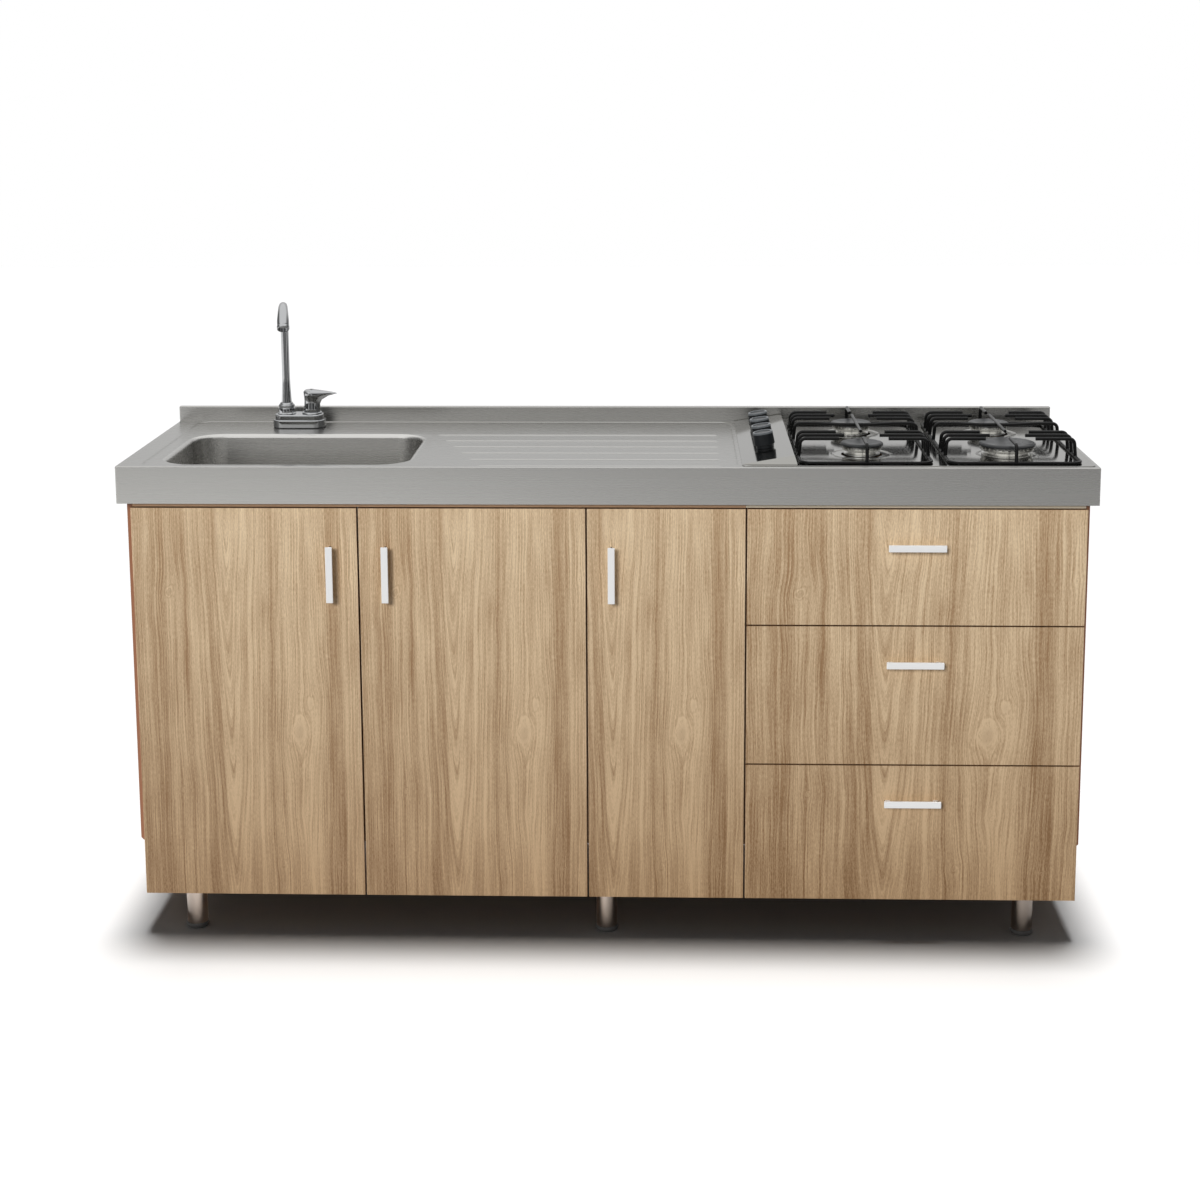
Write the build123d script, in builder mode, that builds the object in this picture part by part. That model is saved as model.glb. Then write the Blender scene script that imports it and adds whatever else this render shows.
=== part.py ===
from build123d import *
import math
import os

os.makedirs("parts", exist_ok=True)

# Worktop, one folded stainless sheet on a board core
worktop_length = 1800
worktop_depth = 520
worktop_height = 914
sheet = 1.2
apron_height = 70
apron_lip = 12
upstand_height = 31
upstand_depth = 12
core_thickness = 16
core_clearance = 0.4
recess_depth = 2
recess_left_margin = 42
recess_front_margin = 9
recess_back_margin = 15
recess_right = 246
recess_corner = 26

# Draining ribs, raised from the recess, with slanted left ends
rib_count = 6
rib_pitch = 66
rib_width = 9
rib_height = 1.4
rib_first = 20
rib_right = 215
rib_front_left = -233
rib_slant = 0.33

# Sink bowl, inside sizes, and where its middle is
bowl_length = 456
bowl_width = 320
bowl_depth = 160
bowl_x = -596
bowl_setback = 38
bowl_corner = 58
bowl_bottom_radius = 26
bowl_draft = 4
bowl_flange = 7
bowl_core_gap = 3

# Basket drain and bottle trap
drain_hole_radius = 44
drain_flange_radius = 55
drain_seat_drop = 3
drain_cup_depth = 46
drain_cup_wall = 2
drain_seat_width = 12.4
tail_radius = 19
tail_length = 42
basket_radius = 38
basket_clearance = 0.4
basket_depth = 26
basket_wall = 1.2
basket_hole_radius = 3
basket_hole_count = 12
basket_hole_ring = 17
basket_post_radius = 3
basket_knob_radius = 8
basket_knob_height = 3
trap_radius = 33
trap_height = 120
trap_nut_radius = 27
trap_nut_height = 18
outlet_radius = 20
outlet_wall = 2.5
outlet_drop = 34
outlet_reach = 100
outlet_nut_radius = 26
outlet_nut_reach = 42
outlet_back_hole = 34

# Carcass boards and fronts
board = 16
carcass_width = 1780
carcass_height = 714.8
back_board = 3
back_gap = 0.8
side_foot_chamfer = 5
front_board = 15
fronts_setback = 20
fronts_apron_gap = 12
fronts_floor_gap = 80
front_gap = 3
front_play = 2.5
front_left_margin = 10.5
front_right_margin = 6.5
front_edge_radius = 1
back_edge_radius = 1.5
sink_partition_x = -34
drawer_partition_x = 261
rail_height = 62
stretcher_sheet = 2
stretcher_height = 26
stretcher_end_tab = 30

# Shelf in the single cupboard
shelf_rise = 340
shelf_front_gap = 24
shelf_side_play = 1
shelf_rear_play = 3
pin_radius = 2.5
pin_depth = 8
pin_reach = 9
pin_inset = 60

# Legs
leg_radius = 20
leg_wall = 1.2
leg_spread = 792
front_leg_setback = 40
rear_leg_setback = 60
foot_height = 9
foot_lip = 1
foot_plug = 12
leg_plate_thickness = 3
leg_plate_length = 66
leg_plate_width = 40
leg_plate_corner = 6
leg_screw_spread = 26
screw_head_radius = 4
screw_head_height = 2

# Cup hinges, measured from the hinge edge and the face of a door
cup_radius = 17.5
cup_edge = 3
cup_depth = 12.5
cup_wall = 0.8
cup_wing_reach = 26
cup_wing_width = 14
cup_wing_thickness = 1.2
hinge_pin_inset = 7.3
hinge_pin_depth = 5.9
hinge_pin_radius = 1.2
hinge_fit = 0.05
hinge_eye_radius = 2.4
arm_strip = 2
arm_height = 10
arm_neck_inset = 20
arm_elbow_depth = 22
arm_plate_depth = 30
arm_plate_length = 38
arm_plate_height = 36
arm_plate_thickness = 3
arm_strip_back = 4
hinge_top_drop = 90
hinge_bottom_rise = 190

# Flat bar handles
handle_length = 106
handle_width = 13
handle_thickness = 4
handle_reach = 22
handle_leg = 9
handle_leg_width = 8
handle_inset = 50
single_handle_inset = 45
handle_drop = 69
handle_screw_radius = 2
handle_screw_head = 3.5
handle_screw_head_height = 2
handle_edge_radius = 1

# Drawers
top_drawer_front = 218
middle_drawer_front = 265
drawer_side = 12
drawer_bottom_board = 4
drawer_bottom_rise = 10
drawer_length = 420
runner_gap = 13
top_box_height = 150
middle_box_height = 190
bottom_box_height = 116
box_rise = 22
bottom_box_clearance = 14
runner_length = 400
runner_front_inset = 4
runner_height = 32
runner_lip = 8
runner_steel = 1.2
runner_drop = 8.3
rail_lip_rise = 8
rail_flange_height = 17
rail_reach = 10
roller_radius = 7
roller_width = 6.8
roller_inset = 16
runner_play = 0.3

# Tap, a two-hole base with a swivel spout and one lever
tap_x = -638
tap_back_gap = 68
tap_length = 106
tap_width = 56
tap_corner = 22
tap_gasket_height = 2
tap_gasket_inset = 1
tap_lower_height = 15
tap_upper_height = 11
tap_upper_inset = 4
tap_lower_edge = 2
tap_upper_edge = 3
tap_axis_spread = 26
collar_radius = 17.5
collar_height = 13
collar_ring_radius = 14.5
collar_ring_height = 10
spout_stem_radius = 9
spout_stem_depth = 20
spout_foot_radius = 10.5
spout_taper_height = 50
spout_radius = 8
spout_rise = 144
spout_bend = 60
spout_over_angle = 52
nozzle_length = 12
nozzle_radius = 12
aerator_radius = 12.5
aerator_height = 8
aerator_wall = 2
spout_turn = 9.5
turning_fit = 0.05
turning_play = 0.3
seat_radius = 20.5
seat_height = 4
stub_radius = 10
stub_height = 22
lever_radius = 17.5
lever_reach = 54
lever_height = 46
lever_tip_radius = 5
lever_tip_height = 38
lever_tip_thickness = 2
lever_back_drop = 5
shank_radius = 10.5
shank_length = 34
shank_wall = 3
shank_tail_radius = 9
shank_tail_length = 26
shank_nut_radius = 19
shank_nut_height = 8
shank_hole_play = 1.5

# Hob plate with its sloping console
hob_left = 252
hob_right_margin = 7
hob_front_margin = 10
hob_back_margin = 14
hob_ledge = 14
console_ridge = 97
console_foot = 102
console_rise = 15
console_front = 14
console_slant = 9
console_back_margin = 2
ring_radius = 52.5
ring_width = 4
ring_height = 0.8

# Burners, placed from the front of the apron
left_burner_x = 480
right_burner_x = 751
front_burner_setback = 130
burner_spacing = 230
small_cap_radius = 40
large_cap_radius = 53
cap_top = 25
cap_height = 6
cap_edge_height = 2
cap_edge_width = 4
cap_under_edge = 1
cap_dimple_share = 0.62
cap_dimple_depth = 1
crown_inset = 3
crown_slots = 28
crown_slot_width = 2
crown_slot_depth = 3
crown_slot_height = 5
cup_body_inset = 14
cup_body_depth = 40
cup_plate_play = 1
cup_flange_width = 8
cup_flange_height = 3

# Knobs, gas valves under the console and their rail
knob_count = 4
knob_first = 157
knob_pitch = 77
knob_x = 300
knob_foot_radius = 16
knob_foot_height = 6
knob_radius = 20
knob_taper = 3
knob_height = 31
knob_gap = 0.6
knob_edge = 1.5
shaft_radius = 4
shaft_reach = 20
shaft_hole_play = 1.5
valve_radius = 12
valve_length = 28
valve_neck = 4
valve_neck_radius = 9
gas_rail_side = 14
gas_rail_corner = 2
gas_rail_start = 140
gas_inlet_radius = 6.5
gas_inlet_wall = 2
gas_nut_radius = 10
gas_nut_height = 16
gas_inlet_back_gap = 42
gas_inlet_drop = 60

# Pan supports of bent round bar
frame_wire_radius = 2.8
finger_radius = 3.3
top_bar_radius = 3
support_half_length = 120
support_front = 24
support_back = 54
support_corner = 22
support_rise = 37
finger_pitch = 37
finger_riser = 117
long_finger_gap = 33
short_finger_gap = 46
finger_bend = 10
end_finger_gap = 33
crossbar_shift = 20
crossbar_bend = 84
crossbar_bow = 14
crossbar_flat = 26
top_bar_half = 94
top_bar_shift = 0
top_bar_lift = 3

# Planes and edges that follow from the sizes above
rear_y = (worktop_depth + handle_reach - fronts_setback) / 2
apron_y = rear_y - worktop_depth
face_y = apron_y + fronts_setback
front_back_y = face_y + front_board
carcass_front_y = front_back_y + front_play
carcass_back_y = rear_y - sheet - back_gap - back_board
apron_bottom = worktop_height - apron_height
top_under = worktop_height - sheet
recess_top = worktop_height - recess_depth
recess_under = recess_top - sheet
core_bottom = recess_under - core_thickness
carcass_top = core_bottom
carcass_bottom = carcass_top - carcass_height
fronts_top = apron_bottom - fronts_apron_gap
fronts_bottom = fronts_floor_gap
half_worktop = worktop_length / 2
left_outer = -carcass_width / 2
right_outer = carcass_width / 2
left_inner = left_outer + board
right_inner = right_outer - board
sink_partition = (sink_partition_x - board / 2, sink_partition_x + board / 2)
drawer_partition = (drawer_partition_x - board / 2, drawer_partition_x + board / 2)
carcass_y = (carcass_front_y, carcass_back_y)
floor_top = carcass_bottom + board
fronts_left = left_outer + front_left_margin
fronts_right = right_outer - front_right_margin
upstand_y = rear_y - upstand_depth
bowl_y = apron_y + bowl_setback + bowl_width / 2
bowl_floor = recess_top - bowl_depth
hob_right = half_worktop - hob_right_margin
hob_y = (apron_y + hob_front_margin, rear_y - hob_back_margin)
hob_hole_x = (hob_left + hob_ledge, hob_right - hob_ledge)
hob_hole_y = (hob_y[0] + hob_ledge, hob_y[1] - hob_ledge)
hob_top = worktop_height + sheet
burner_ys = [apron_y + front_burner_setback + n * burner_spacing for n in range(2)]
burners = [
    (left_burner_x, burner_ys[0], small_cap_radius),
    (left_burner_x, burner_ys[1], small_cap_radius),
    (right_burner_x, burner_ys[0], large_cap_radius),
    (right_burner_x, burner_ys[1], small_cap_radius),
]


def save(piece, label):
    piece.part.label = label
    export_step(piece.part, f"parts/{label}.step")


def block(x, y, z, mode=Mode.ADD):
    # x, y and z are (low, high) pairs
    with Locations(((x[0] + x[1]) / 2, (y[0] + y[1]) / 2, (z[0] + z[1]) / 2)):
        Box(x[1] - x[0], y[1] - y[0], z[1] - z[0], mode=mode)


def post(x, y, z, radius, mode=Mode.ADD):
    # an upright round from z[0] to z[1]
    with Locations((x, y, z[0])):
        Cylinder(radius, z[1] - z[0], align=(Align.CENTER, Align.CENTER, Align.MIN), mode=mode)


# The worktop: aprons, upstand, recess, ribs and the openings for bowl, tap and hob
recess_x = (-half_worktop + recess_left_margin, recess_right)
recess_y = (apron_y + recess_front_margin, rear_y - recess_back_margin)
recess_centre = (sum(recess_x) / 2, sum(recess_y) / 2)
recess_size = (recess_x[1] - recess_x[0], recess_y[1] - recess_y[0])
tap_y = rear_y - tap_back_gap
spout_x = tap_x - tap_axis_spread
lever_x = tap_x + tap_axis_spread
with BuildPart() as worktop:
    block((-half_worktop, half_worktop), (apron_y, rear_y), (apron_bottom, worktop_height))
    block((-half_worktop, half_worktop), (upstand_y, rear_y),
          (worktop_height, worktop_height + upstand_height))
    inside_x = (-half_worktop + sheet, half_worktop - sheet)
    block(inside_x, (apron_y + sheet, rear_y - sheet), (apron_bottom, top_under), Mode.SUBTRACT)
    block(inside_x, (upstand_y + sheet, rear_y - sheet),
          (top_under, worktop_height + upstand_height - sheet), Mode.SUBTRACT)
    block(inside_x, (apron_y + sheet, apron_y + sheet + apron_lip),
          (apron_bottom, apron_bottom + sheet))
    with BuildSketch(Plane.XY.offset(recess_under)):
        with Locations(recess_centre):
            RectangleRounded(recess_size[0] + 2 * sheet, recess_size[1] + 2 * sheet,
                             recess_corner + sheet)
    extrude(amount=worktop_height - recess_under)
    with BuildSketch(Plane.XY.offset(recess_top)):
        with Locations(recess_centre):
            RectangleRounded(recess_size[0], recess_size[1], recess_corner)
    extrude(amount=recess_depth, mode=Mode.SUBTRACT)
    for n in range(rib_count):
        rib_y = apron_y + rib_first + n * rib_pitch
        rib_left = rib_front_left - rib_slant * n * rib_pitch
        with BuildSketch(Plane.XY.offset(recess_top)):
            with Locations(((rib_left + rib_right) / 2, rib_y)):
                SlotOverall(rib_right - rib_left, rib_width)
        extrude(amount=rib_height)
    with BuildSketch(Plane.XY.offset(recess_under)):
        with Locations((bowl_x, bowl_y)):
            RectangleRounded(bowl_length, bowl_width, bowl_corner)
    extrude(amount=worktop_height - recess_under, mode=Mode.SUBTRACT)
    for x in (spout_x, lever_x):
        post(x, tap_y, (recess_under, worktop_height), shank_radius + shank_hole_play,
             Mode.SUBTRACT)
    block(hob_hole_x, hob_hole_y, (recess_under, worktop_height), Mode.SUBTRACT)
save(worktop, "worktop")

with BuildPart() as worktop_core:
    inner = sheet + core_clearance
    block((-half_worktop + inner, half_worktop - inner), (apron_y + inner, rear_y - inner),
          (core_bottom, recess_under))
    bowl_hole = bowl_flange + bowl_core_gap
    with BuildSketch(Plane.XY.offset(core_bottom)):
        with Locations((bowl_x, bowl_y)):
            RectangleRounded(bowl_length + 2 * bowl_hole, bowl_width + 2 * bowl_hole,
                             bowl_corner + bowl_hole)
    extrude(amount=core_thickness, mode=Mode.SUBTRACT)
    for x in (spout_x, lever_x):
        post(x, tap_y, (core_bottom, recess_under), shank_radius + shank_hole_play, Mode.SUBTRACT)
    block(hob_hole_x, hob_hole_y, (core_bottom, recess_under), Mode.SUBTRACT)
save(worktop_core, "worktop_core")

# The bowl hangs by its flange from the underside of the recess
def make_bowl_block(wall):
    with BuildPart() as bowl_block:
        with BuildSketch(Plane.XY.offset(recess_under)):
            with Locations((bowl_x, bowl_y)):
                RectangleRounded(bowl_length + 2 * wall, bowl_width + 2 * wall,
                                 bowl_corner + wall)
        extrude(amount=-(bowl_depth - (recess_top - recess_under) + wall), taper=bowl_draft)
        fillet(bowl_block.edges().group_by(Axis.Z)[0], bowl_bottom_radius + wall)
    return bowl_block.part


with BuildPart() as sink_bowl:
    with BuildSketch(Plane.XY.offset(recess_under)):
        with Locations((bowl_x, bowl_y)):
            RectangleRounded(bowl_length + 2 * bowl_flange, bowl_width + 2 * bowl_flange,
                             bowl_corner + bowl_flange)
    extrude(amount=-sheet)
    add(make_bowl_block(sheet))
    add(make_bowl_block(0), mode=Mode.SUBTRACT)
    post(bowl_x, bowl_y, (bowl_floor - sheet, bowl_floor), drain_hole_radius, Mode.SUBTRACT)
save(sink_bowl, "sink_bowl")

# Drain flange, cup and tail in one, seated in the bowl's hole
cup_bottom = bowl_floor - drain_cup_depth
with BuildPart() as drain_flange:
    post(bowl_x, bowl_y, (bowl_floor, bowl_floor + sheet), drain_flange_radius)
    post(bowl_x, bowl_y, (cup_bottom, bowl_floor), drain_hole_radius)
    post(bowl_x, bowl_y, (cup_bottom - tail_length, cup_bottom), tail_radius)
    cup_inside = drain_hole_radius - drain_cup_wall
    post(bowl_x, bowl_y, (cup_bottom + drain_cup_wall, bowl_floor + sheet), cup_inside,
         Mode.SUBTRACT)
    post(bowl_x, bowl_y, (cup_bottom - tail_length, cup_bottom + drain_cup_wall),
         tail_radius - drain_cup_wall, Mode.SUBTRACT)
    seat_z = bowl_floor - drain_seat_drop - basket_depth - basket_clearance
    post(bowl_x, bowl_y, (seat_z - drain_cup_wall, seat_z), cup_inside)
    post(bowl_x, bowl_y, (seat_z - drain_cup_wall, seat_z), cup_inside - drain_seat_width,
         Mode.SUBTRACT)
save(drain_flange, "drain_flange")

with BuildPart() as strainer_basket:
    basket_bottom = seat_z + basket_clearance
    basket_top = basket_bottom + basket_depth
    post(bowl_x, bowl_y, (basket_bottom, basket_top), basket_radius)
    post(bowl_x, bowl_y, (basket_bottom + basket_wall, basket_top), basket_radius - basket_wall,
         Mode.SUBTRACT)
    with BuildSketch(Plane.XY.offset(basket_bottom)):
        with Locations((bowl_x, bowl_y)):
            with PolarLocations(basket_hole_ring, basket_hole_count):
                Circle(basket_hole_radius)
    extrude(amount=basket_wall, mode=Mode.SUBTRACT)
    post(bowl_x, bowl_y, (basket_bottom, basket_top), basket_post_radius)
    post(bowl_x, bowl_y, (basket_top - basket_knob_height, basket_top), basket_knob_radius)
save(strainer_basket, "strainer_basket")

# Bottle trap with its outlet towards the hole in the back
trap_top = cup_bottom - tail_length + trap_nut_height / 2
trap_z = (trap_top - trap_nut_height - trap_height, trap_top - trap_nut_height)
outlet_z = trap_z[1] - outlet_drop
with BuildPart() as waste_trap:
    post(bowl_x, bowl_y, trap_z, trap_radius)
    post(bowl_x, bowl_y, (trap_z[1], trap_top), trap_nut_radius)
    for radius, reach in ((outlet_nut_radius, outlet_nut_reach), (outlet_radius, outlet_reach)):
        with BuildSketch(Plane.XZ.offset(-bowl_y)):
            with Locations((bowl_x, outlet_z)):
                Circle(radius)
        extrude(amount=-reach)
    post(bowl_x, bowl_y, (trap_z[0] + outlet_wall, trap_z[1] - outlet_wall),
         trap_radius - outlet_wall, Mode.SUBTRACT)
    with BuildSketch(Plane.XZ.offset(-bowl_y)):
        with Locations((bowl_x, outlet_z)):
            Circle(outlet_radius - outlet_wall)
    extrude(amount=-outlet_reach, mode=Mode.SUBTRACT)
    post(bowl_x, bowl_y, (trap_z[1] - outlet_wall, trap_top), tail_radius, Mode.SUBTRACT)
save(waste_trap, "waste_trap")


# Carcass boards
def make_panel(x, mark):
    with BuildPart() as panel:
        bottom = carcass_bottom if mark else floor_top
        block(x, carcass_y, (bottom, carcass_top))
        if mark:
            outer = panel.faces().sort_by(Axis.X)[0 if mark < 0 else -1]
            chamfer(outer.edges().sort_by(Axis.Z)[0], side_foot_chamfer)
    return panel


shelf_y = (carcass_front_y + shelf_front_gap, carcass_back_y - shelf_rear_play)
shelf_z = (carcass_bottom + shelf_rise, carcass_bottom + shelf_rise + board)
pin_ys = (shelf_y[0] + pin_inset, shelf_y[1] - pin_inset)
pin_z = shelf_z[0] - pin_radius
save(make_panel((left_outer, left_inner), -1), "side_panel_left")
save(make_panel((right_inner, right_outer), 1), "side_panel_right")
for label, x, face_x, into in (
    ("partition_sink", sink_partition, sink_partition[1], -1),
    ("partition_drawers", drawer_partition, drawer_partition[0], 1),
):
    partition = make_panel(x, 0)
    with partition:
        for y in pin_ys:
            with Locations(Plane(origin=(face_x, y, pin_z), z_dir=(into, 0, 0))):
                Cylinder(pin_radius, pin_depth, mode=Mode.SUBTRACT,
                         align=(Align.CENTER, Align.CENTER, Align.MIN))
    save(partition, label)

with BuildPart() as bottom_panel:
    block((left_inner, right_inner), carcass_y, (carcass_bottom, floor_top))
save(bottom_panel, "bottom_panel")

with BuildPart() as back_panel:
    block((left_outer, right_outer), (carcass_back_y, carcass_back_y + back_board),
          (carcass_bottom, carcass_top))
    with Locations(Plane(origin=(bowl_x, carcass_back_y, outlet_z), z_dir=(0, 1, 0))):
        Cylinder(outlet_back_hole, 2 * back_board, mode=Mode.SUBTRACT)
save(back_panel, "back_panel")

bay_xs = (
    (left_inner, sink_partition[0]),
    (sink_partition[1], drawer_partition[0]),
    (drawer_partition[1], right_inner),
)
rail_z = (carcass_top - rail_height, carcass_top)
with BuildPart() as top_rails:
    for bay in bay_xs:
        block(bay, (carcass_back_y - board, carcass_back_y), rail_z)
    for bay in bay_xs[1:]:
        block(bay, (carcass_front_y, carcass_front_y + board), rail_z)
save(top_rails, "top_rails")

# A steel stretcher stands in for the front rail where the bowl leaves no room for a board
with BuildPart() as sink_stretcher:
    stretcher_z = (rail_z[0], rail_z[0] + stretcher_height)
    block(bay_xs[0], (carcass_front_y, carcass_front_y + stretcher_sheet), stretcher_z)
    for x in ((bay_xs[0][0], bay_xs[0][0] + stretcher_sheet),
              (bay_xs[0][1] - stretcher_sheet, bay_xs[0][1])):
        block(x, (carcass_front_y, carcass_front_y + stretcher_end_tab), stretcher_z)
save(sink_stretcher, "sink_stretcher")

with BuildPart() as shelf:
    block((bay_xs[1][0] + shelf_side_play, bay_xs[1][1] - shelf_side_play), shelf_y, shelf_z)
save(shelf, "shelf")

with BuildPart() as shelf_pins:
    for face_x, into in ((bay_xs[1][0], -1), (bay_xs[1][1], 1)):
        for y in pin_ys:
            with Locations(Plane(origin=(face_x - into * pin_reach, y, pin_z),
                                 z_dir=(into, 0, 0))):
                Cylinder(pin_radius, pin_reach + pin_depth,
                         align=(Align.CENTER, Align.CENTER, Align.MIN))
save(shelf_pins, "shelf_pins")

# Legs
leg_points = [
    (x, y)
    for x in (-leg_spread, 0, leg_spread)
    for y in (face_y + front_leg_setback, carcass_back_y - rear_leg_setback)
]
plate_bottom = carcass_bottom - leg_plate_thickness
with BuildPart() as leg_tubes:
    for x, y in leg_points:
        post(x, y, (foot_height, plate_bottom), leg_radius)
        post(x, y, (foot_height, plate_bottom), leg_radius - leg_wall, Mode.SUBTRACT)
save(leg_tubes, "leg_tubes")

with BuildPart() as leg_feet:
    for x, y in leg_points:
        post(x, y, (0, foot_height), leg_radius + foot_lip)
        post(x, y, (foot_height, foot_height + foot_plug), leg_radius - leg_wall)
save(leg_feet, "leg_feet")

with BuildPart() as leg_plates:
    with BuildSketch(Plane.XY.offset(plate_bottom)):
        with Locations(leg_points):
            RectangleRounded(leg_plate_length, leg_plate_width, leg_plate_corner)
    extrude(amount=leg_plate_thickness)
    with Locations(leg_points):
        with Locations((-leg_screw_spread, 0), (leg_screw_spread, 0)):
            with Locations((0, 0, plate_bottom - screw_head_height)):
                Cylinder(screw_head_radius, screw_head_height,
                         align=(Align.CENTER, Align.CENTER, Align.MIN))
save(leg_plates, "leg_plates")


# Hinges: a plane at the hinge edge and face of a door, x inward and y back
def hinge_plane(edge_x, side, z):
    return Plane(origin=(edge_x, face_y, z), x_dir=(side, 0, 0), z_dir=(0, 0, side))


def cup_mouth(plane):
    origin = plane.from_local_coords((cup_edge + cup_radius, front_board, 0))
    return Plane(origin=origin, x_dir=plane.x_dir, z_dir=plane.y_dir)


def make_hinge_cup(plane):
    cup_u = cup_edge + cup_radius
    mouth = cup_mouth(plane)
    with BuildPart() as cup:
        with BuildSketch(mouth):
            Circle(cup_radius)
        extrude(amount=-cup_depth)
        with BuildSketch(mouth):
            RectangleRounded(cup_wing_width, 2 * cup_wing_reach, cup_wing_width / 3)
        extrude(amount=cup_wing_thickness)
        with BuildSketch(mouth.offset(cup_wing_thickness)):
            Circle(cup_radius - cup_wall)
        extrude(amount=-(cup_depth + cup_wing_thickness - cup_wall), mode=Mode.SUBTRACT)
        with BuildSketch(plane):
            with Locations((hinge_pin_inset, hinge_pin_depth)):
                Circle(hinge_pin_radius)
        pin_side = cup_u - hinge_pin_inset + hinge_pin_radius
        chord = math.sqrt((cup_radius - cup_wall / 2) ** 2 - pin_side ** 2)
        extrude(amount=chord, both=True)
    return cup


def make_hinge_arm(plane, panel_inset):
    eye = (hinge_pin_inset, hinge_pin_depth)
    strip_v = hinge_pin_depth - hinge_eye_radius + arm_strip / 2
    plate_u = panel_inset + arm_plate_thickness
    landing_u = plate_u + arm_strip / 2
    with BuildPart() as arm:
        with BuildSketch(plane):
            with BuildLine():
                FilletPolyline(
                    (hinge_pin_inset, strip_v),
                    (arm_neck_inset + arm_strip / 2, strip_v),
                    (arm_neck_inset + arm_strip / 2, arm_elbow_depth),
                    (landing_u, arm_elbow_depth + landing_u),
                    (landing_u, arm_plate_depth + arm_plate_length - arm_strip_back),
                    radius=2 * arm_strip,
                )
                offset(amount=arm_strip / 2, side=Side.BOTH)
            make_face()
            with Locations(eye):
                Circle(hinge_eye_radius)
                Circle(hinge_pin_radius + hinge_fit, mode=Mode.SUBTRACT)
        extrude(amount=arm_height / 2, both=True)
        with BuildSketch(plane):
            with Locations((panel_inset + arm_plate_thickness / 2,
                            arm_plate_depth + arm_plate_length / 2)):
                Rectangle(arm_plate_thickness, arm_plate_length)
        extrude(amount=arm_plate_height / 2, both=True)
    return arm


def make_handle(face_plane, grip_depth):
    # the plane's x runs along the bar and its z points out of the face
    span = handle_length - handle_leg
    with BuildPart() as handle:
        with BuildSketch(face_plane.offset(handle_reach - handle_thickness)):
            Rectangle(handle_length, handle_width)
        extrude(amount=handle_thickness)
        fillet(handle.edges(), handle_edge_radius)
        with BuildSketch(face_plane):
            with GridLocations(span, 1, 2, 1):
                Rectangle(handle_leg, handle_leg_width)
        extrude(amount=handle_reach - handle_thickness / 2)
        with BuildSketch(face_plane):
            with GridLocations(span, 1, 2, 1):
                Circle(handle_screw_radius)
        extrude(amount=-grip_depth)
        with BuildSketch(face_plane.offset(-grip_depth)):
            with GridLocations(span, 1, 2, 1):
                Circle(handle_screw_head)
        extrude(amount=-handle_screw_head_height)
    return handle


def drill_handle_holes(face_plane, depth):
    with BuildSketch(face_plane) as holes:
        with GridLocations(handle_length - handle_leg, 1, 2, 1):
            Circle(handle_screw_radius)
    extrude(holes.sketch, amount=-depth, mode=Mode.SUBTRACT)


def upright_face(x, z):
    return Plane(origin=(x, face_y, z), x_dir=(0, 0, 1), z_dir=(0, -1, 0))


def level_face(x, z):
    return Plane(origin=(x, face_y, z), x_dir=(1, 0, 0), z_dir=(0, -1, 0))


def make_front(x, z):
    with BuildPart() as front:
        block(x, (face_y, front_back_y), z)
        uprights = front.edges().filter_by(Axis.Z)
        fillet(uprights.group_by(Axis.Y)[0], front_edge_radius)
        fillet(front.edges().filter_by(Axis.Z).group_by(Axis.Y)[-1], back_edge_radius)
    return front


# Doors, each with its handle and two hinge cups
door_z = (fronts_bottom, fronts_top)
hinge_zs = (fronts_top - hinge_top_drop, fronts_bottom + hinge_bottom_rise)
pair_width = (sink_partition_x - front_gap / 2 - fronts_left - front_gap) / 2
left_door = (fronts_left, fronts_left + pair_width)
middle_door = (left_door[1] + front_gap, left_door[1] + front_gap + pair_width)
right_door = (sink_partition_x + front_gap / 2, drawer_partition_x - front_gap / 2)
doors = (
    ("door_left", left_door, 1, left_inner, handle_inset),
    ("door_middle", middle_door, -1, sink_partition[0], handle_inset),
    ("door_right", right_door, -1, drawer_partition[0], single_handle_inset),
)
arms = []
for label, x, side, panel_x, inset in doors:
    hinge_x, free_x = (x[0], x[1]) if side > 0 else (x[1], x[0])
    handle_plane = upright_face(free_x - side * inset, fronts_top - handle_drop - handle_length / 2)
    planes = [hinge_plane(hinge_x, side, z) for z in hinge_zs]
    door = make_front(x, door_z)
    with door:
        for plane in planes:
            with BuildSketch(cup_mouth(plane)) as pocket_outline:
                Circle(cup_radius)
            extrude(pocket_outline.sketch, amount=-cup_depth, mode=Mode.SUBTRACT)
        drill_handle_holes(handle_plane, front_board)
    save(door, label)
    save(make_handle(handle_plane, front_board), f"{label}_handle")
    with BuildPart() as hinge_cups:
        for plane in planes:
            add(make_hinge_cup(plane).part)
    save(hinge_cups, f"{label}_hinge_cups")
    arms += [make_hinge_arm(plane, abs(panel_x - hinge_x)).part for plane in planes]

with BuildPart() as hinge_arms:
    add(arms)
save(hinge_arms, "hinge_arms")

# Drawers: front, box, handle and the moving rails, all between the last two boards
drawer_x = (drawer_partition_x + front_gap / 2, fronts_right)
drawer_bay = bay_xs[2]
box_x = (drawer_bay[0] + runner_gap, drawer_bay[1] - runner_gap)
box_y = (front_back_y, front_back_y + drawer_length)
middle_drawer_top = fronts_top - top_drawer_front - front_gap
bottom_drawer_top = middle_drawer_top - middle_drawer_front - front_gap
drawers = (
    ("drawer_top", (fronts_top - top_drawer_front, fronts_top),
     fronts_top - top_drawer_front + box_rise, top_box_height),
    ("drawer_middle", (middle_drawer_top - middle_drawer_front, middle_drawer_top),
     middle_drawer_top - middle_drawer_front + box_rise, middle_box_height),
    ("drawer_bottom", (fronts_bottom, bottom_drawer_top),
     floor_top + bottom_box_clearance, bottom_box_height),
)
runner_walls = ((drawer_bay[0], 1), (drawer_bay[1], -1))


def spread(wall_x, side, near, far):
    # a span of x measured from a wall of the bay
    return tuple(sorted((wall_x + side * near, wall_x + side * far)))


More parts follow.
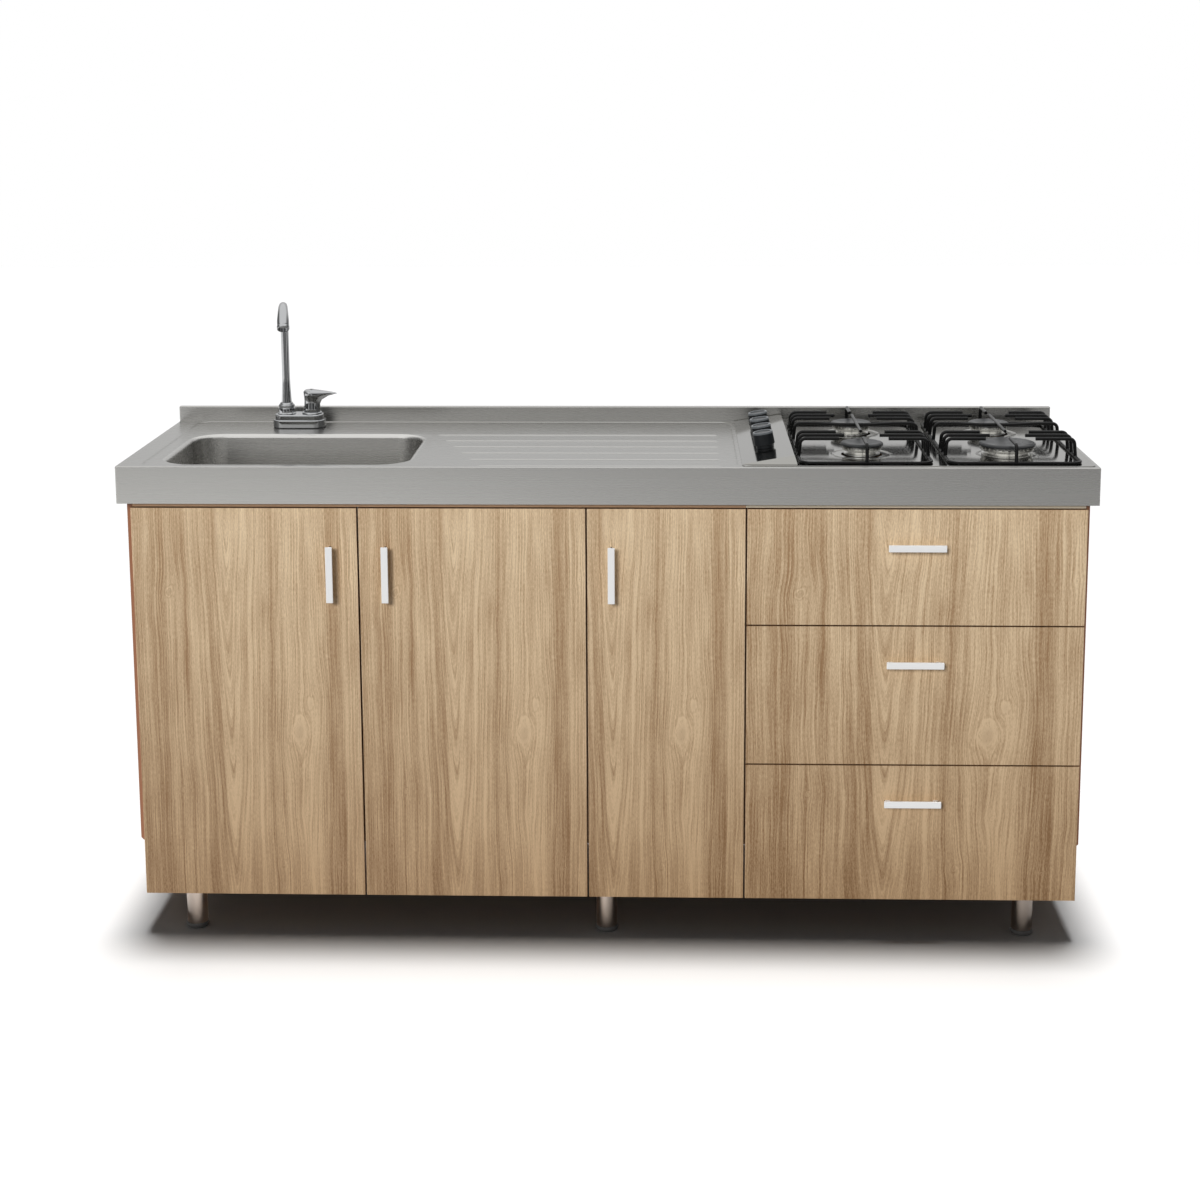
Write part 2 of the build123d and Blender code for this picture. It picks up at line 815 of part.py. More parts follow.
def roller(wall_x, side, near, far, y, z):
    x = spread(wall_x, side, near, far)
    with Locations(Plane(origin=(x[0], y, z), z_dir=(1, 0, 0))):
        Cylinder(roller_radius, x[1] - x[0], align=(Align.CENTER, Align.CENTER, Align.MIN))


for label, z, box_bottom, box_height in drawers:
    box_z = (box_bottom, box_bottom + box_height)
    handle_plane = level_face(sum(drawer_x) / 2, z[1] - handle_drop)
    grip = front_board + drawer_side
    front = make_front(drawer_x, z)
    with front:
        drill_handle_holes(handle_plane, front_board)
    save(front, f"{label}_front")
    with BuildPart() as box:
        block((box_x[0], box_x[0] + drawer_side), box_y, box_z)
        block((box_x[1] - drawer_side, box_x[1]), box_y, box_z)
    inside_x = (box_x[0] + drawer_side, box_x[1] - drawer_side)
    inside_y = (box_y[0] + drawer_side, box_y[1] - drawer_side)
    with BuildPart() as ends:
        block(inside_x, (box_y[0], inside_y[0]), box_z)
        block(inside_x, (inside_y[1], box_y[1]), box_z)
        drill_handle_holes(handle_plane, grip)
    with BuildPart() as tray:
        tray_z = box_bottom + drawer_bottom_rise
        block(inside_x, inside_y, (tray_z, tray_z + drawer_bottom_board))
    box.part = Compound(children=[*box.part.solids(), *ends.part.solids(), tray.part.solid()])
    save(box, f"{label}_box")
    save(make_handle(handle_plane, grip), f"{label}_handle")
    with BuildPart() as rails:
        for wall_x, side in runner_walls:
            outer = runner_gap - runner_steel
            rail_y = (box_y[0] + roller_inset, box_y[1])
            block(spread(wall_x, side, outer, runner_gap), rail_y,
                  (box_bottom - runner_steel, box_bottom + rail_flange_height))
            block(spread(wall_x, side, runner_gap, runner_gap + drawer_side), rail_y,
                  (box_bottom - runner_steel, box_bottom))
            block(spread(wall_x, side, outer - rail_reach + runner_steel, outer), rail_y,
                  (box_bottom + rail_lip_rise, box_bottom + rail_lip_rise + runner_steel))
            roller(wall_x, side, 2 * runner_steel, outer, rail_y[1] - roller_radius,
                   box_bottom - runner_drop + runner_steel + runner_play + roller_radius)
    save(rails, f"{label}_rails")

with BuildPart() as drawer_runners:
    for label, z, box_bottom, box_height in drawers:
        runner_y = (carcass_front_y + runner_front_inset,
                    carcass_front_y + runner_front_inset + runner_length)
        base = box_bottom - runner_drop
        for wall_x, side in runner_walls:
            block(spread(wall_x, side, 0, runner_steel), runner_y, (base, base + runner_height))
            for z in (base, base + runner_height - runner_steel):
                block(spread(wall_x, side, 0, runner_lip), runner_y, (z, z + runner_steel))
            roller(wall_x, side, runner_steel, roller_width + runner_steel,
                   runner_y[0] + roller_inset,
                   box_bottom + rail_lip_rise - runner_play - roller_radius)
save(drawer_runners, "drawer_runners")

# The tap
gasket_z = (recess_top, recess_top + tap_gasket_height)
tap_z = gasket_z[1]
tier_z = tap_z + tap_lower_height
deck_z = tier_z + tap_upper_height
with BuildPart() as tap_gasket:
    with BuildSketch(Plane.XY.offset(gasket_z[0])):
        with Locations((tap_x, tap_y)):
            RectangleRounded(tap_length - 2 * tap_gasket_inset, tap_width - 2 * tap_gasket_inset,
                             tap_corner - tap_gasket_inset)
        with Locations((spout_x, tap_y), (lever_x, tap_y)):
            Circle(shank_radius + shank_hole_play, mode=Mode.SUBTRACT)
    extrude(amount=tap_gasket_height)
save(tap_gasket, "tap_gasket")

collar_z = (deck_z, deck_z + collar_height)
ring_z = (collar_z[1], collar_z[1] + collar_ring_height)
seat_top = deck_z + seat_height
with BuildPart() as tap_body:
    with BuildSketch(Plane.XY.offset(tap_z)):
        with Locations((tap_x, tap_y)):
            RectangleRounded(tap_length, tap_width, tap_corner)
    extrude(amount=tap_lower_height)
    fillet(tap_body.edges().group_by(Axis.Z)[-1], tap_lower_edge)
    with BuildSketch(Plane.XY.offset(tier_z)):
        with Locations((tap_x, tap_y)):
            RectangleRounded(tap_length - 2 * tap_upper_inset, tap_width - 2 * tap_upper_inset,
                             tap_corner - tap_upper_inset)
    extrude(amount=tap_upper_height)
    fillet(tap_body.edges().group_by(Axis.Z)[-1], tap_upper_edge)
    post(spout_x, tap_y, collar_z, collar_radius)
    post(spout_x, tap_y, ring_z, collar_ring_radius)
    post(lever_x, tap_y, (deck_z, seat_top), seat_radius)
    post(lever_x, tap_y, (seat_top, seat_top + stub_height), stub_radius)
    post(spout_x, tap_y, (ring_z[1] - spout_stem_depth, ring_z[1]),
         spout_stem_radius + turning_fit, Mode.SUBTRACT)
    for x in (spout_x, lever_x):
        tail_z = (tap_z - shank_length - shank_tail_length, tap_z - shank_length)
        post(x, tap_y, (tail_z[1], tap_z), shank_radius)
        post(x, tap_y, tail_z, shank_tail_radius)
        post(x, tap_y, (tail_z[0], tap_z), shank_tail_radius - shank_wall, Mode.SUBTRACT)
save(tap_body, "tap_body")

with BuildPart() as tap_nuts:
    nut_z = (core_bottom - shank_nut_height, core_bottom)
    for x in (spout_x, lever_x):
        with BuildSketch(Plane.XY.offset(nut_z[0])):
            with Locations((x, tap_y)):
                RegularPolygon(shank_nut_radius, 6)
                Circle(shank_radius, mode=Mode.SUBTRACT)
        extrude(amount=shank_nut_height)
save(tap_nuts, "tap_nuts")

# The spout in its own upright plane, turned a little towards the drainer
spout_plane = Plane(origin=(spout_x, tap_y, 0),
                    x_dir=Vector(0, -1, 0).rotate(Axis.Z, spout_turn),
                    z_dir=Vector(-1, 0, 0).rotate(Axis.Z, spout_turn))
stem_z = ring_z[1] - spout_stem_depth + turning_play
spout_base = ring_z[1] + turning_play
bend_z = spout_base + spout_rise
over = math.radians(90 + spout_over_angle)
bend_end = (spout_bend - spout_bend * math.cos(over), bend_z + spout_bend * math.sin(over))
heading = (math.sin(over), math.cos(over))


def along_nozzle(distance):
    return (bend_end[0] + heading[0] * distance, bend_end[1] + heading[1] * distance)


def nozzle_plane(distance):
    point = spout_plane.from_local_coords((*along_nozzle(distance), 0))
    forward = spout_plane.x_dir * heading[0] + spout_plane.y_dir * heading[1]
    return Plane(origin=point, z_dir=forward)


with BuildPart() as tap_spout:
    post(spout_x, tap_y, (stem_z, spout_base), spout_stem_radius)
    with BuildSketch(Plane.XY.offset(spout_base)):
        with Locations((spout_x, tap_y)):
            Circle(spout_foot_radius)
    with BuildSketch(Plane.XY.offset(spout_base + spout_taper_height)):
        with Locations((spout_x, tap_y)):
            Circle(spout_radius)
    loft()
    post(spout_x, tap_y, (spout_base + spout_taper_height, bend_z), spout_radius)
    with BuildLine(spout_plane):
        CenterArc((spout_bend, bend_z), spout_bend, 180, -90 - spout_over_angle)
    with BuildSketch(Plane.XY.offset(bend_z)):
        with Locations((spout_x, tap_y)):
            Circle(spout_radius)
    sweep()
    with BuildSketch(nozzle_plane(0)):
        Circle(spout_radius)
    with BuildSketch(nozzle_plane(nozzle_length)):
        Circle(nozzle_radius)
    loft()
    with BuildSketch(nozzle_plane(nozzle_length)):
        Circle(aerator_radius)
    extrude(amount=aerator_height)
    with BuildSketch(nozzle_plane(nozzle_length + aerator_height)):
        Circle(aerator_radius - aerator_wall)
    extrude(amount=-aerator_height / 2, mode=Mode.SUBTRACT)
save(tap_spout, "tap_spout")

lever_z = seat_top + turning_play
with BuildPart() as tap_lever:
    with BuildSketch(Plane.XZ.offset(-tap_y)):
        with BuildLine():
            left = lever_x - lever_radius
            right = lever_x + lever_radius
            tip = lever_x + lever_reach
            Line((left, lever_z), (right, lever_z))
            Line((right, lever_z), (right, lever_z + lever_tip_height / 3))
            Spline((right, lever_z + lever_tip_height / 3), (tip, lever_z + lever_tip_height),
                   tangents=((0, 1), (1, 0.1)))
            tip_top = lever_z + lever_tip_height + lever_tip_thickness
            back_top = lever_z + lever_height - lever_back_drop
            Line((tip, lever_z + lever_tip_height), (tip, tip_top))
            Spline((tip, tip_top), (lever_x, lever_z + lever_height), (left, back_top),
                   tangents=((-1, 1), (-0.6, -1)))
            Line((left, back_top), (left, lever_z))
        make_face()
    extrude(amount=lever_radius, both=True)
    with BuildSketch(Plane.XY.offset(lever_z)):
        with Locations((lever_x, tap_y)):
            Circle(lever_radius)
        with Locations((tip - lever_tip_radius, tap_y)):
            Circle(lever_tip_radius)
        make_hull()
    extrude(amount=lever_height, mode=Mode.INTERSECT)
    post(lever_x, tap_y, (lever_z, seat_top + stub_height + turning_play),
         stub_radius + turning_fit, Mode.SUBTRACT)
save(tap_lever, "tap_lever")

# The hob plate with its console, a sloping box with a steep right side
ridge_x = hob_left + console_ridge
foot_x = hob_left + console_foot
console_y = (hob_y[0] + console_front, hob_y[1] - console_back_margin)
tilt = math.atan2(console_rise, console_ridge)
knob_ys = [apron_y + knob_first + n * knob_pitch for n in range(knob_count)]
knob_z = hob_top + (knob_x - hob_left) * math.tan(tilt)


def knob_plane(y, height):
    # on a knob's axis, height above the console's sloping face
    face = Plane(origin=(knob_x, y, knob_z), x_dir=(math.cos(tilt), 0, math.sin(tilt)),
                 z_dir=(-math.sin(tilt), 0, math.cos(tilt)))
    return face.offset(height)


def make_console(inset):
    # the wedge under the knobs, made smaller by inset on every face but its underside
    drop = inset / math.cos(tilt)
    top = hob_top + console_rise - drop
    low = hob_top - sheet
    front, back = console_y[0] + inset, console_y[1] - inset
    with BuildPart() as wedge:
        with BuildSketch(Plane.XZ.offset(-front)):
            Polygon(
                (hob_left + inset, low),
                (hob_left + inset, hob_top - drop + inset * math.tan(tilt)),
                (ridge_x - inset, top - inset * math.tan(tilt)),
                (foot_x - inset, low),
                align=None,
            )
        extrude(amount=front - back)
        with BuildSketch(Plane.YZ.offset(hob_left - console_rise)):
            Polygon((front, low), (front + console_slant, top), (back - console_slant / 2, top),
                    (back, low), align=None)
        extrude(amount=console_foot + 2 * console_rise, mode=Mode.INTERSECT)
    return wedge.part


with BuildPart() as hob_panel:
    block((hob_left, hob_right), hob_y, (worktop_height, hob_top))
    add(make_console(0))
    add(make_console(sheet), mode=Mode.SUBTRACT)
    for x, y, cap_radius in burners:
        post(x, y, (worktop_height, hob_top + ring_height), ring_radius + ring_width)
        post(x, y, (hob_top, hob_top + ring_height), ring_radius, Mode.SUBTRACT)
        post(x, y, (worktop_height, hob_top), cap_radius - cup_body_inset + cup_plate_play,
             Mode.SUBTRACT)
    for y in knob_ys:
        with BuildSketch(knob_plane(y, -sheet * 2)):
            Circle(shaft_radius + shaft_hole_play)
        extrude(amount=sheet * 3, mode=Mode.SUBTRACT)
save(hob_panel, "hob_panel")

# Burners: cups through the plate, slotted crowns and flat caps
crown_bottom = hob_top + cup_flange_height
cap_z = (worktop_height + cap_top - cap_height, worktop_height + cap_top)
with BuildPart() as burner_cups:
    for x, y, cap_radius in burners:
        throat = cap_radius - cup_body_inset
        post(x, y, (worktop_height - cup_body_depth, crown_bottom), throat)
        post(x, y, (hob_top, crown_bottom), throat + cup_flange_width)
save(burner_cups, "burner_cups")

with BuildPart() as burner_crowns:
    for x, y, cap_radius in burners:
        post(x, y, (crown_bottom, cap_z[0]), cap_radius - crown_inset)
        with BuildSketch(Plane.XY.offset(cap_z[0] - crown_slot_height)):
            with Locations((x, y)):
                with PolarLocations(cap_radius - crown_inset, crown_slots):
                    Rectangle(2 * crown_slot_depth, crown_slot_width)
        extrude(amount=crown_slot_height, mode=Mode.SUBTRACT)
save(burner_crowns, "burner_crowns")

with BuildPart() as burner_caps:
    for x, y, cap_radius in burners:
        post(x, y, cap_z, cap_radius)
    rims = burner_caps.edges().filter_by(GeomType.CIRCLE)
    chamfer(rims.group_by(Axis.Z)[-1], cap_edge_height, cap_edge_width)
    fillet(burner_caps.edges().filter_by(GeomType.CIRCLE).group_by(Axis.Z)[0], cap_under_edge)
    for x, y, cap_radius in burners:
        post(x, y, (cap_z[1] - cap_dimple_depth, cap_z[1]), cap_radius * cap_dimple_share,
             Mode.SUBTRACT)
save(burner_caps, "burner_caps")

# Gas valves clamped under the console, on one square rail with an inlet pipe
neck_low = -sheet - valve_neck
valve_low = neck_low - valve_length
with BuildPart() as gas_valves:
    for y in knob_ys:
        with BuildSketch(knob_plane(y, valve_low)):
            Circle(valve_radius)
        extrude(amount=valve_length)
        with BuildSketch(knob_plane(y, neck_low)):
            Circle(valve_neck_radius)
        extrude(amount=valve_neck)
        with BuildSketch(knob_plane(y, -sheet)):
            Circle(shaft_radius)
        extrude(amount=sheet + shaft_reach)
save(gas_valves, "gas_valves")

rail_middle = knob_plane(apron_y, valve_low - gas_rail_side / 2)
gas_inlet_setback = worktop_depth - gas_inlet_back_gap
rail_length = gas_inlet_setback - gas_rail_start
with BuildPart() as gas_rail:
    rail_plane = Plane(origin=rail_middle.origin + Vector(0, gas_rail_start, 0),
                       x_dir=rail_middle.x_dir, z_dir=(0, 1, 0))
    with BuildSketch(rail_plane):
        RectangleRounded(gas_rail_side, gas_rail_side, gas_rail_corner)
    extrude(amount=rail_length + gas_rail_side)
    inlet_x, inlet_y, inlet_top = rail_middle.origin + Vector(0, gas_inlet_setback, 0)
    post(inlet_x, inlet_y, (inlet_top - gas_nut_height, inlet_top), gas_nut_radius)
    post(inlet_x, inlet_y, (inlet_top - gas_inlet_drop, inlet_top), gas_inlet_radius)
    post(inlet_x, inlet_y, (inlet_top - gas_inlet_drop, inlet_top - gas_rail_side),
         gas_inlet_radius - gas_inlet_wall, Mode.SUBTRACT)
save(gas_rail, "gas_rail")

# Knobs, each on its own tilted shaft
for n, y in enumerate(knob_ys):
    with BuildPart() as knob:
        with BuildSketch(knob_plane(y, knob_gap)):
            Circle(knob_foot_radius)
        extrude(amount=knob_foot_height)
        with BuildSketch(knob_plane(y, knob_gap + knob_foot_height)):
            Circle(knob_radius)
        extrude(amount=knob_height - knob_foot_height, taper=knob_taper)
        fillet(knob.edges().filter_by(GeomType.CIRCLE).sort_by(Axis.Z)[-1], knob_edge)
        with BuildSketch(knob_plane(y, knob_gap)):
            Circle(shaft_radius + turning_fit)
        extrude(amount=shaft_reach, mode=Mode.SUBTRACT)
    save(knob, f"knob_{n + 1}")

# Pan supports of bent round bar, welded into one frame each
frame_z = hob_top + frame_wire_radius
finger_z = worktop_height + support_rise
support_y = (apron_y + support_front, rear_y - support_back)
crossbar_y = (burner_ys[0] + burner_ys[1]) / 2 + crossbar_shift


def sweep_wire(path, radius):
    # round bar along a path, added to the part being built
    wire = path.wires()[0]
    start = Plane(origin=wire @ 0, z_dir=wire % 0)
    with BuildSketch(start) as bar:
        Circle(radius)
    sweep(bar.sketch, path=wire)


def add_finger(plane, side, gap):
    # plane has its origin in the middle of the support at the floor; the finger comes from side
    with BuildLine(plane) as path:
        FilletPolyline(
            (side * support_half_length, frame_z),
            (side * finger_riser, finger_z),
            (side * gap, finger_z),
            radius=finger_bend,
        )
    sweep_wire(path, finger_radius)


def add_long_finger(plane, start, end):
    # from the front or back bar of the frame towards a burner
    with BuildLine(plane) as path:
        FilletPolyline((start, frame_z), (start, finger_z), (end, finger_z), radius=finger_bend)
    sweep_wire(path, finger_radius)


for label, x in (("pan_support_left", left_burner_x), ("pan_support_right", right_burner_x)):
    across = (x - support_half_length, x + support_half_length)
    with BuildPart() as support:
        with BuildLine(Plane.XY.offset(frame_z)) as loop:
            FilletPolyline(
                (across[1], support_y[0]),
                (across[1], support_y[1]),
                (across[0], support_y[1]),
                (across[0], support_y[0]),
                radius=support_corner,
                close=True,
            )
        sweep_wire(loop, frame_wire_radius)
        for burner_y in burner_ys:
            for row, gap in ((-1, short_finger_gap), (0, long_finger_gap), (1, short_finger_gap)):
                row_plane = Plane(origin=(x, burner_y + row * finger_pitch, 0),
                                  x_dir=(1, 0, 0), z_dir=(0, -1, 0))
                for side in (-1, 1):
                    add_finger(row_plane, side, gap)
        lengthwise = Plane(origin=(x, 0, 0), x_dir=(0, 1, 0), z_dir=(1, 0, 0))
        add_long_finger(lengthwise, support_y[0], burner_ys[0] - end_finger_gap)
        add_long_finger(lengthwise, support_y[1], burner_ys[1] + end_finger_gap)
        cross_plane = Plane(origin=(x, crossbar_y, 0), x_dir=(1, 0, 0), z_dir=(0, -1, 0))
        for side in (-1, 1):
            add_finger(cross_plane, side, crossbar_bend)
        bow_y = crossbar_y - crossbar_bow
        with BuildLine(Plane.XY.offset(finger_z)) as bow:
            Spline(
                (x - crossbar_bend, crossbar_y),
                (x - crossbar_flat, bow_y),
                (x + crossbar_flat, bow_y),
                (x + crossbar_bend, crossbar_y),
                tangents=((1, 0), (1, 0)),
            )
        sweep_wire(bow, finger_radius)
        top_y = bow_y + top_bar_shift
        with BuildLine() as top_bar:
            Line((x, top_y - top_bar_half, finger_z + top_bar_lift),
                 (x, top_y + top_bar_half, finger_z + top_bar_lift))
        sweep_wire(top_bar, top_bar_radius)
    save(support, label)
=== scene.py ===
import bmesh
import bpy
import math
from mathutils import Matrix, Vector


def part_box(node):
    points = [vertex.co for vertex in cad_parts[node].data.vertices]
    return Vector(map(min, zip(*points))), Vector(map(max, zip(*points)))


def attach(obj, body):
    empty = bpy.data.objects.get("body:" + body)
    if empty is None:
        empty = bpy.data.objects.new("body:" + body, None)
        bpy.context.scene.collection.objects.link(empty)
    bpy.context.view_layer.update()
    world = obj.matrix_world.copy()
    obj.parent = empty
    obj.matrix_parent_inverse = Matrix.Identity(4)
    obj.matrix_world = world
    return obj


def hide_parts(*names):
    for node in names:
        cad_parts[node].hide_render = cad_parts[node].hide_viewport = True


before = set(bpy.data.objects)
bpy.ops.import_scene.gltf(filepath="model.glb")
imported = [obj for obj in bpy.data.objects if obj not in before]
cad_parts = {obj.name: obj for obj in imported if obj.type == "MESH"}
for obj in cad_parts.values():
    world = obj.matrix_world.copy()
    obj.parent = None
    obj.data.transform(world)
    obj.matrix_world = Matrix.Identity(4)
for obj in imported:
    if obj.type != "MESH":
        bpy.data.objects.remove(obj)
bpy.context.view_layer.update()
mm = 0.001
up = Vector((0, 0, 1))
# the dictionaries below give sizes and places in mm and angles in degrees, unless they say otherwise
print("stage 1: frame loaded with", len(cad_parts), "nodes")


def spans(node):
    # the low and high edges of a node along x, y and z, in mm
    low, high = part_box(node)
    return [(low[n] / mm, high[n] / mm) for n in range(3)]


def middle(pair):
    return (pair[0] + pair[1]) / 2


def linear(red, green, blue):
    # a colour read as 0 to 255, as the shader wants it
    share = [value / 255 for value in (red, green, blue)]
    return [v / 12.92 if v < 0.04045 else ((v + 0.055) / 1.055) ** 2.4 for v in share] + [1]


# Shader maths: sums on a socket add the nodes that work them out
class Socket:
    def __init__(self, finish, socket):
        self.finish = finish
        self.socket = socket

    def sum(self, operation, *values):
        return self.finish.node("ShaderNodeMath", {"operation": operation}, dict(enumerate(values)))

    def __add__(self, other):
        return self.sum("ADD", self, other)

    def __radd__(self, other):
        return self.sum("ADD", other, self)

    def __sub__(self, other):
        return self.sum("SUBTRACT", self, other)

    def __rsub__(self, other):
        return self.sum("SUBTRACT", other, self)

    def __mul__(self, other):
        return self.sum("MULTIPLY", self, other)

    def __rmul__(self, other):
        return self.sum("MULTIPLY", other, self)

    def __truediv__(self, other):
        return self.sum("DIVIDE", self, other)

    def __rtruediv__(self, other):
        return self.sum("DIVIDE", other, self)

    def __pow__(self, other):
        return self.sum("POWER", self, other)

    def __abs__(self):
        return self.sum("ABSOLUTE", self)


class Finish:
    def __init__(self, name, **values):
        self.made = bpy.data.materials.new(name)
        self.made.use_nodes = True
        self.tree = self.made.node_tree
        self.shader = self.tree.nodes["Principled BSDF"]
        self.where = self.node("ShaderNodeTexCoord", {}, {}, "Object")
        self.feed(**values)

    def node(self, kind, settings, inputs, output=0):
        made = self.tree.nodes.new(kind)
        for key, value in settings.items():
            if key == "stops":
                ramp = made.color_ramp.elements
                ramp[0].position, ramp[0].color = value[0]
                ramp[1].position, ramp[1].color = value[-1]
                for position, colour in value[1:-1]:
                    ramp.new(position).color = colour
            else:
                setattr(made, key, value)
        for key, value in inputs.items():
            if isinstance(value, Socket):
                self.tree.links.new(value.socket, made.inputs[key])
            else:
                made.inputs[key].default_value = value
        return Socket(self, made.outputs[output])

    def feed(self, **values):
        # values or links of the shader's own sockets, written as baseColor for Base Color
        for key, value in values.items():
            spaced = "".join(" " + c if c.isupper() else c for c in key)
            socket = self.shader.inputs[spaced[0].upper() + spaced[1:]]
            if isinstance(value, Socket):
                self.tree.links.new(value.socket, socket)
            else:
                socket.default_value = value
        return self

    def axes(self):
        return [self.node("ShaderNodeSeparateXYZ", {}, {0: self.where}, n) for n in range(3)]

    def point(self, x, y, z):
        return self.node("ShaderNodeCombineXYZ", {}, {0: x, 1: y, 2: z})

    def stretched(self, x, y, z):
        # object coordinates in metres, times three scales
        return self.node("ShaderNodeVectorMath", {"operation": "MULTIPLY"}, {0: self.where, 1: (x, y, z)})

    def noise(self, vector, detail=2.0, roughness=0.5, scale=1.0):
        return self.node("ShaderNodeTexNoise", {"noise_dimensions": "3D"},
                         {"Vector": vector, "Scale": scale, "Detail": detail, "Roughness": roughness})

    def between(self, value, low, high, start=0.0, end=1.0):
        # value from low to high, made into start to end with soft ends
        return self.node("ShaderNodeMapRange", {"interpolation_type": "SMOOTHSTEP"},
                         {0: value, 1: low, 2: high, 3: start, 4: end})

    def mix(self, share, low, high, way="MIX"):
        return self.node("ShaderNodeMix", {"data_type": "RGBA", "blend_type": way},
                         {0: share, 6: low, 7: high}, 2)

    def ramp(self, value, stops):
        return self.node("ShaderNodeValToRGB", {"stops": stops}, {0: value})

    def bump(self, height, strength, distance):
        values = {"Height": height, "Strength": strength, "Distance": distance}
        return self.feed(normal=self.node("ShaderNodeBump", {}, values))


woodLook = {
    "width": 420.5,
    "top": 832.0,
    "height": 752.0,
    # the top and low colours darken the print towards the bottom: painted shade, standing in for light from
    # above
    "paleTop": linear(246, 221, 184),
    "darkTop": linear(168, 132, 94),
    "paleLow": linear(196, 164, 126),
    "darkLow": linear(122, 89, 54),
    "knot": linear(120, 86, 56),
    "edge": linear(140, 103, 72),
    "boardTint": (0.86, 0.74, 0.66, 1),
    "boardEdge": linear(156, 106, 76),
    "boardLeft": -240.0,
    "boardStretch": 0.85,
    "flatLeft": -900.0,
    "flatStretch": 0.42,
    "roughness": 0.42,
    "coat": 0.1,
    "coatRoughness": 0.35,
    "bandEdge": (0.6, 1.2),
}
# how strongly each part of the grain shows, and where its arches stand, in mm
woodGrain = {
    "band": 0.95,
    "ring": 2.1,
    "streak": 0.85,
    "fine": 1.9,
    "patch": 0.8,
    "pore": 1.4,
    "halo": 0.3,
    "lift": 0.02,
    "range": (-0.06, 1.02),
    "drift": 22,
    "bandDrift": 0.3,
    "archAcross": 178,
    "archWidth": 8,
    "archReach": 40,
    "archSlope": 0.042,
    "knotPush": 1.15,
    "knotLean": 0.5,
    "knotPower": 5,
    "knotEdge": (0.15, 0.9),
    "knotShade": 0.22,
    "eyeSize": 0.9,
    "eyeEdge": (0.6, 1.1),
    "eyeWander": 2.4,
    "eyeRings": 0.8,
    "eyeRim": 0.6,
}
# noise: how fine across the print, which slice, how fine down it, detail and roughness
woodLayers = {
    "drift": (0.011, 0.0, 0.003, 3.0, 0.5),
    "ring": (0.22, 0.0, 0.0007, 6.0, 0.74),
    "swirl": (0.045, 7.0, 0.022, 2.0, 0.5),
    "eye": (2.3, 5.0, 0.004, 4.0, 0.65),
    "streak": (0.06, 6.0, 0.0022, 3.0, 0.6),
    "fine": (0.6, 9.0, 0.006, 3.0, 0.65),
    "pore": (0.9, 0.0, 0.14, 3.0, 0.6),
    "patch": (0.02, 3.0, 0.006, 3.0, 0.55),
}
# how brown the print's broad bands are, by distance from its left edge in mm
woodBands = [
    (0, 0.55), (20, 0.5), (48, 0.78), (68, 0.4), (95, 0.56), (110, 0.4), (156, 0.7), (162, 0.28), (235, 0.28),
    (258, 0.6), (282, 0.3), (336, 0.24), (360, 0.52), (367, 0.76), (386, 0.7), (392, 0.35), (420, 0.36),
]
# the print's knots: across, down, half width, half height, strength
woodKnots = [
    (304, 432, 20, 42, 1.0), (326, 376, 13, 30, 0.6), (68, 158, 16, 24, 0.5), (305, 351, 9, 12, 0.4),
    (276, 213, 10, 14, 0.4), (313, 591, 10, 16, 0.4), (79, 546, 8, 14, 0.4), (266, 690, 9, 16, 0.5),
    (410, 133, 8, 12, 0.5), (376, 700, 8, 12, 0.5),
]


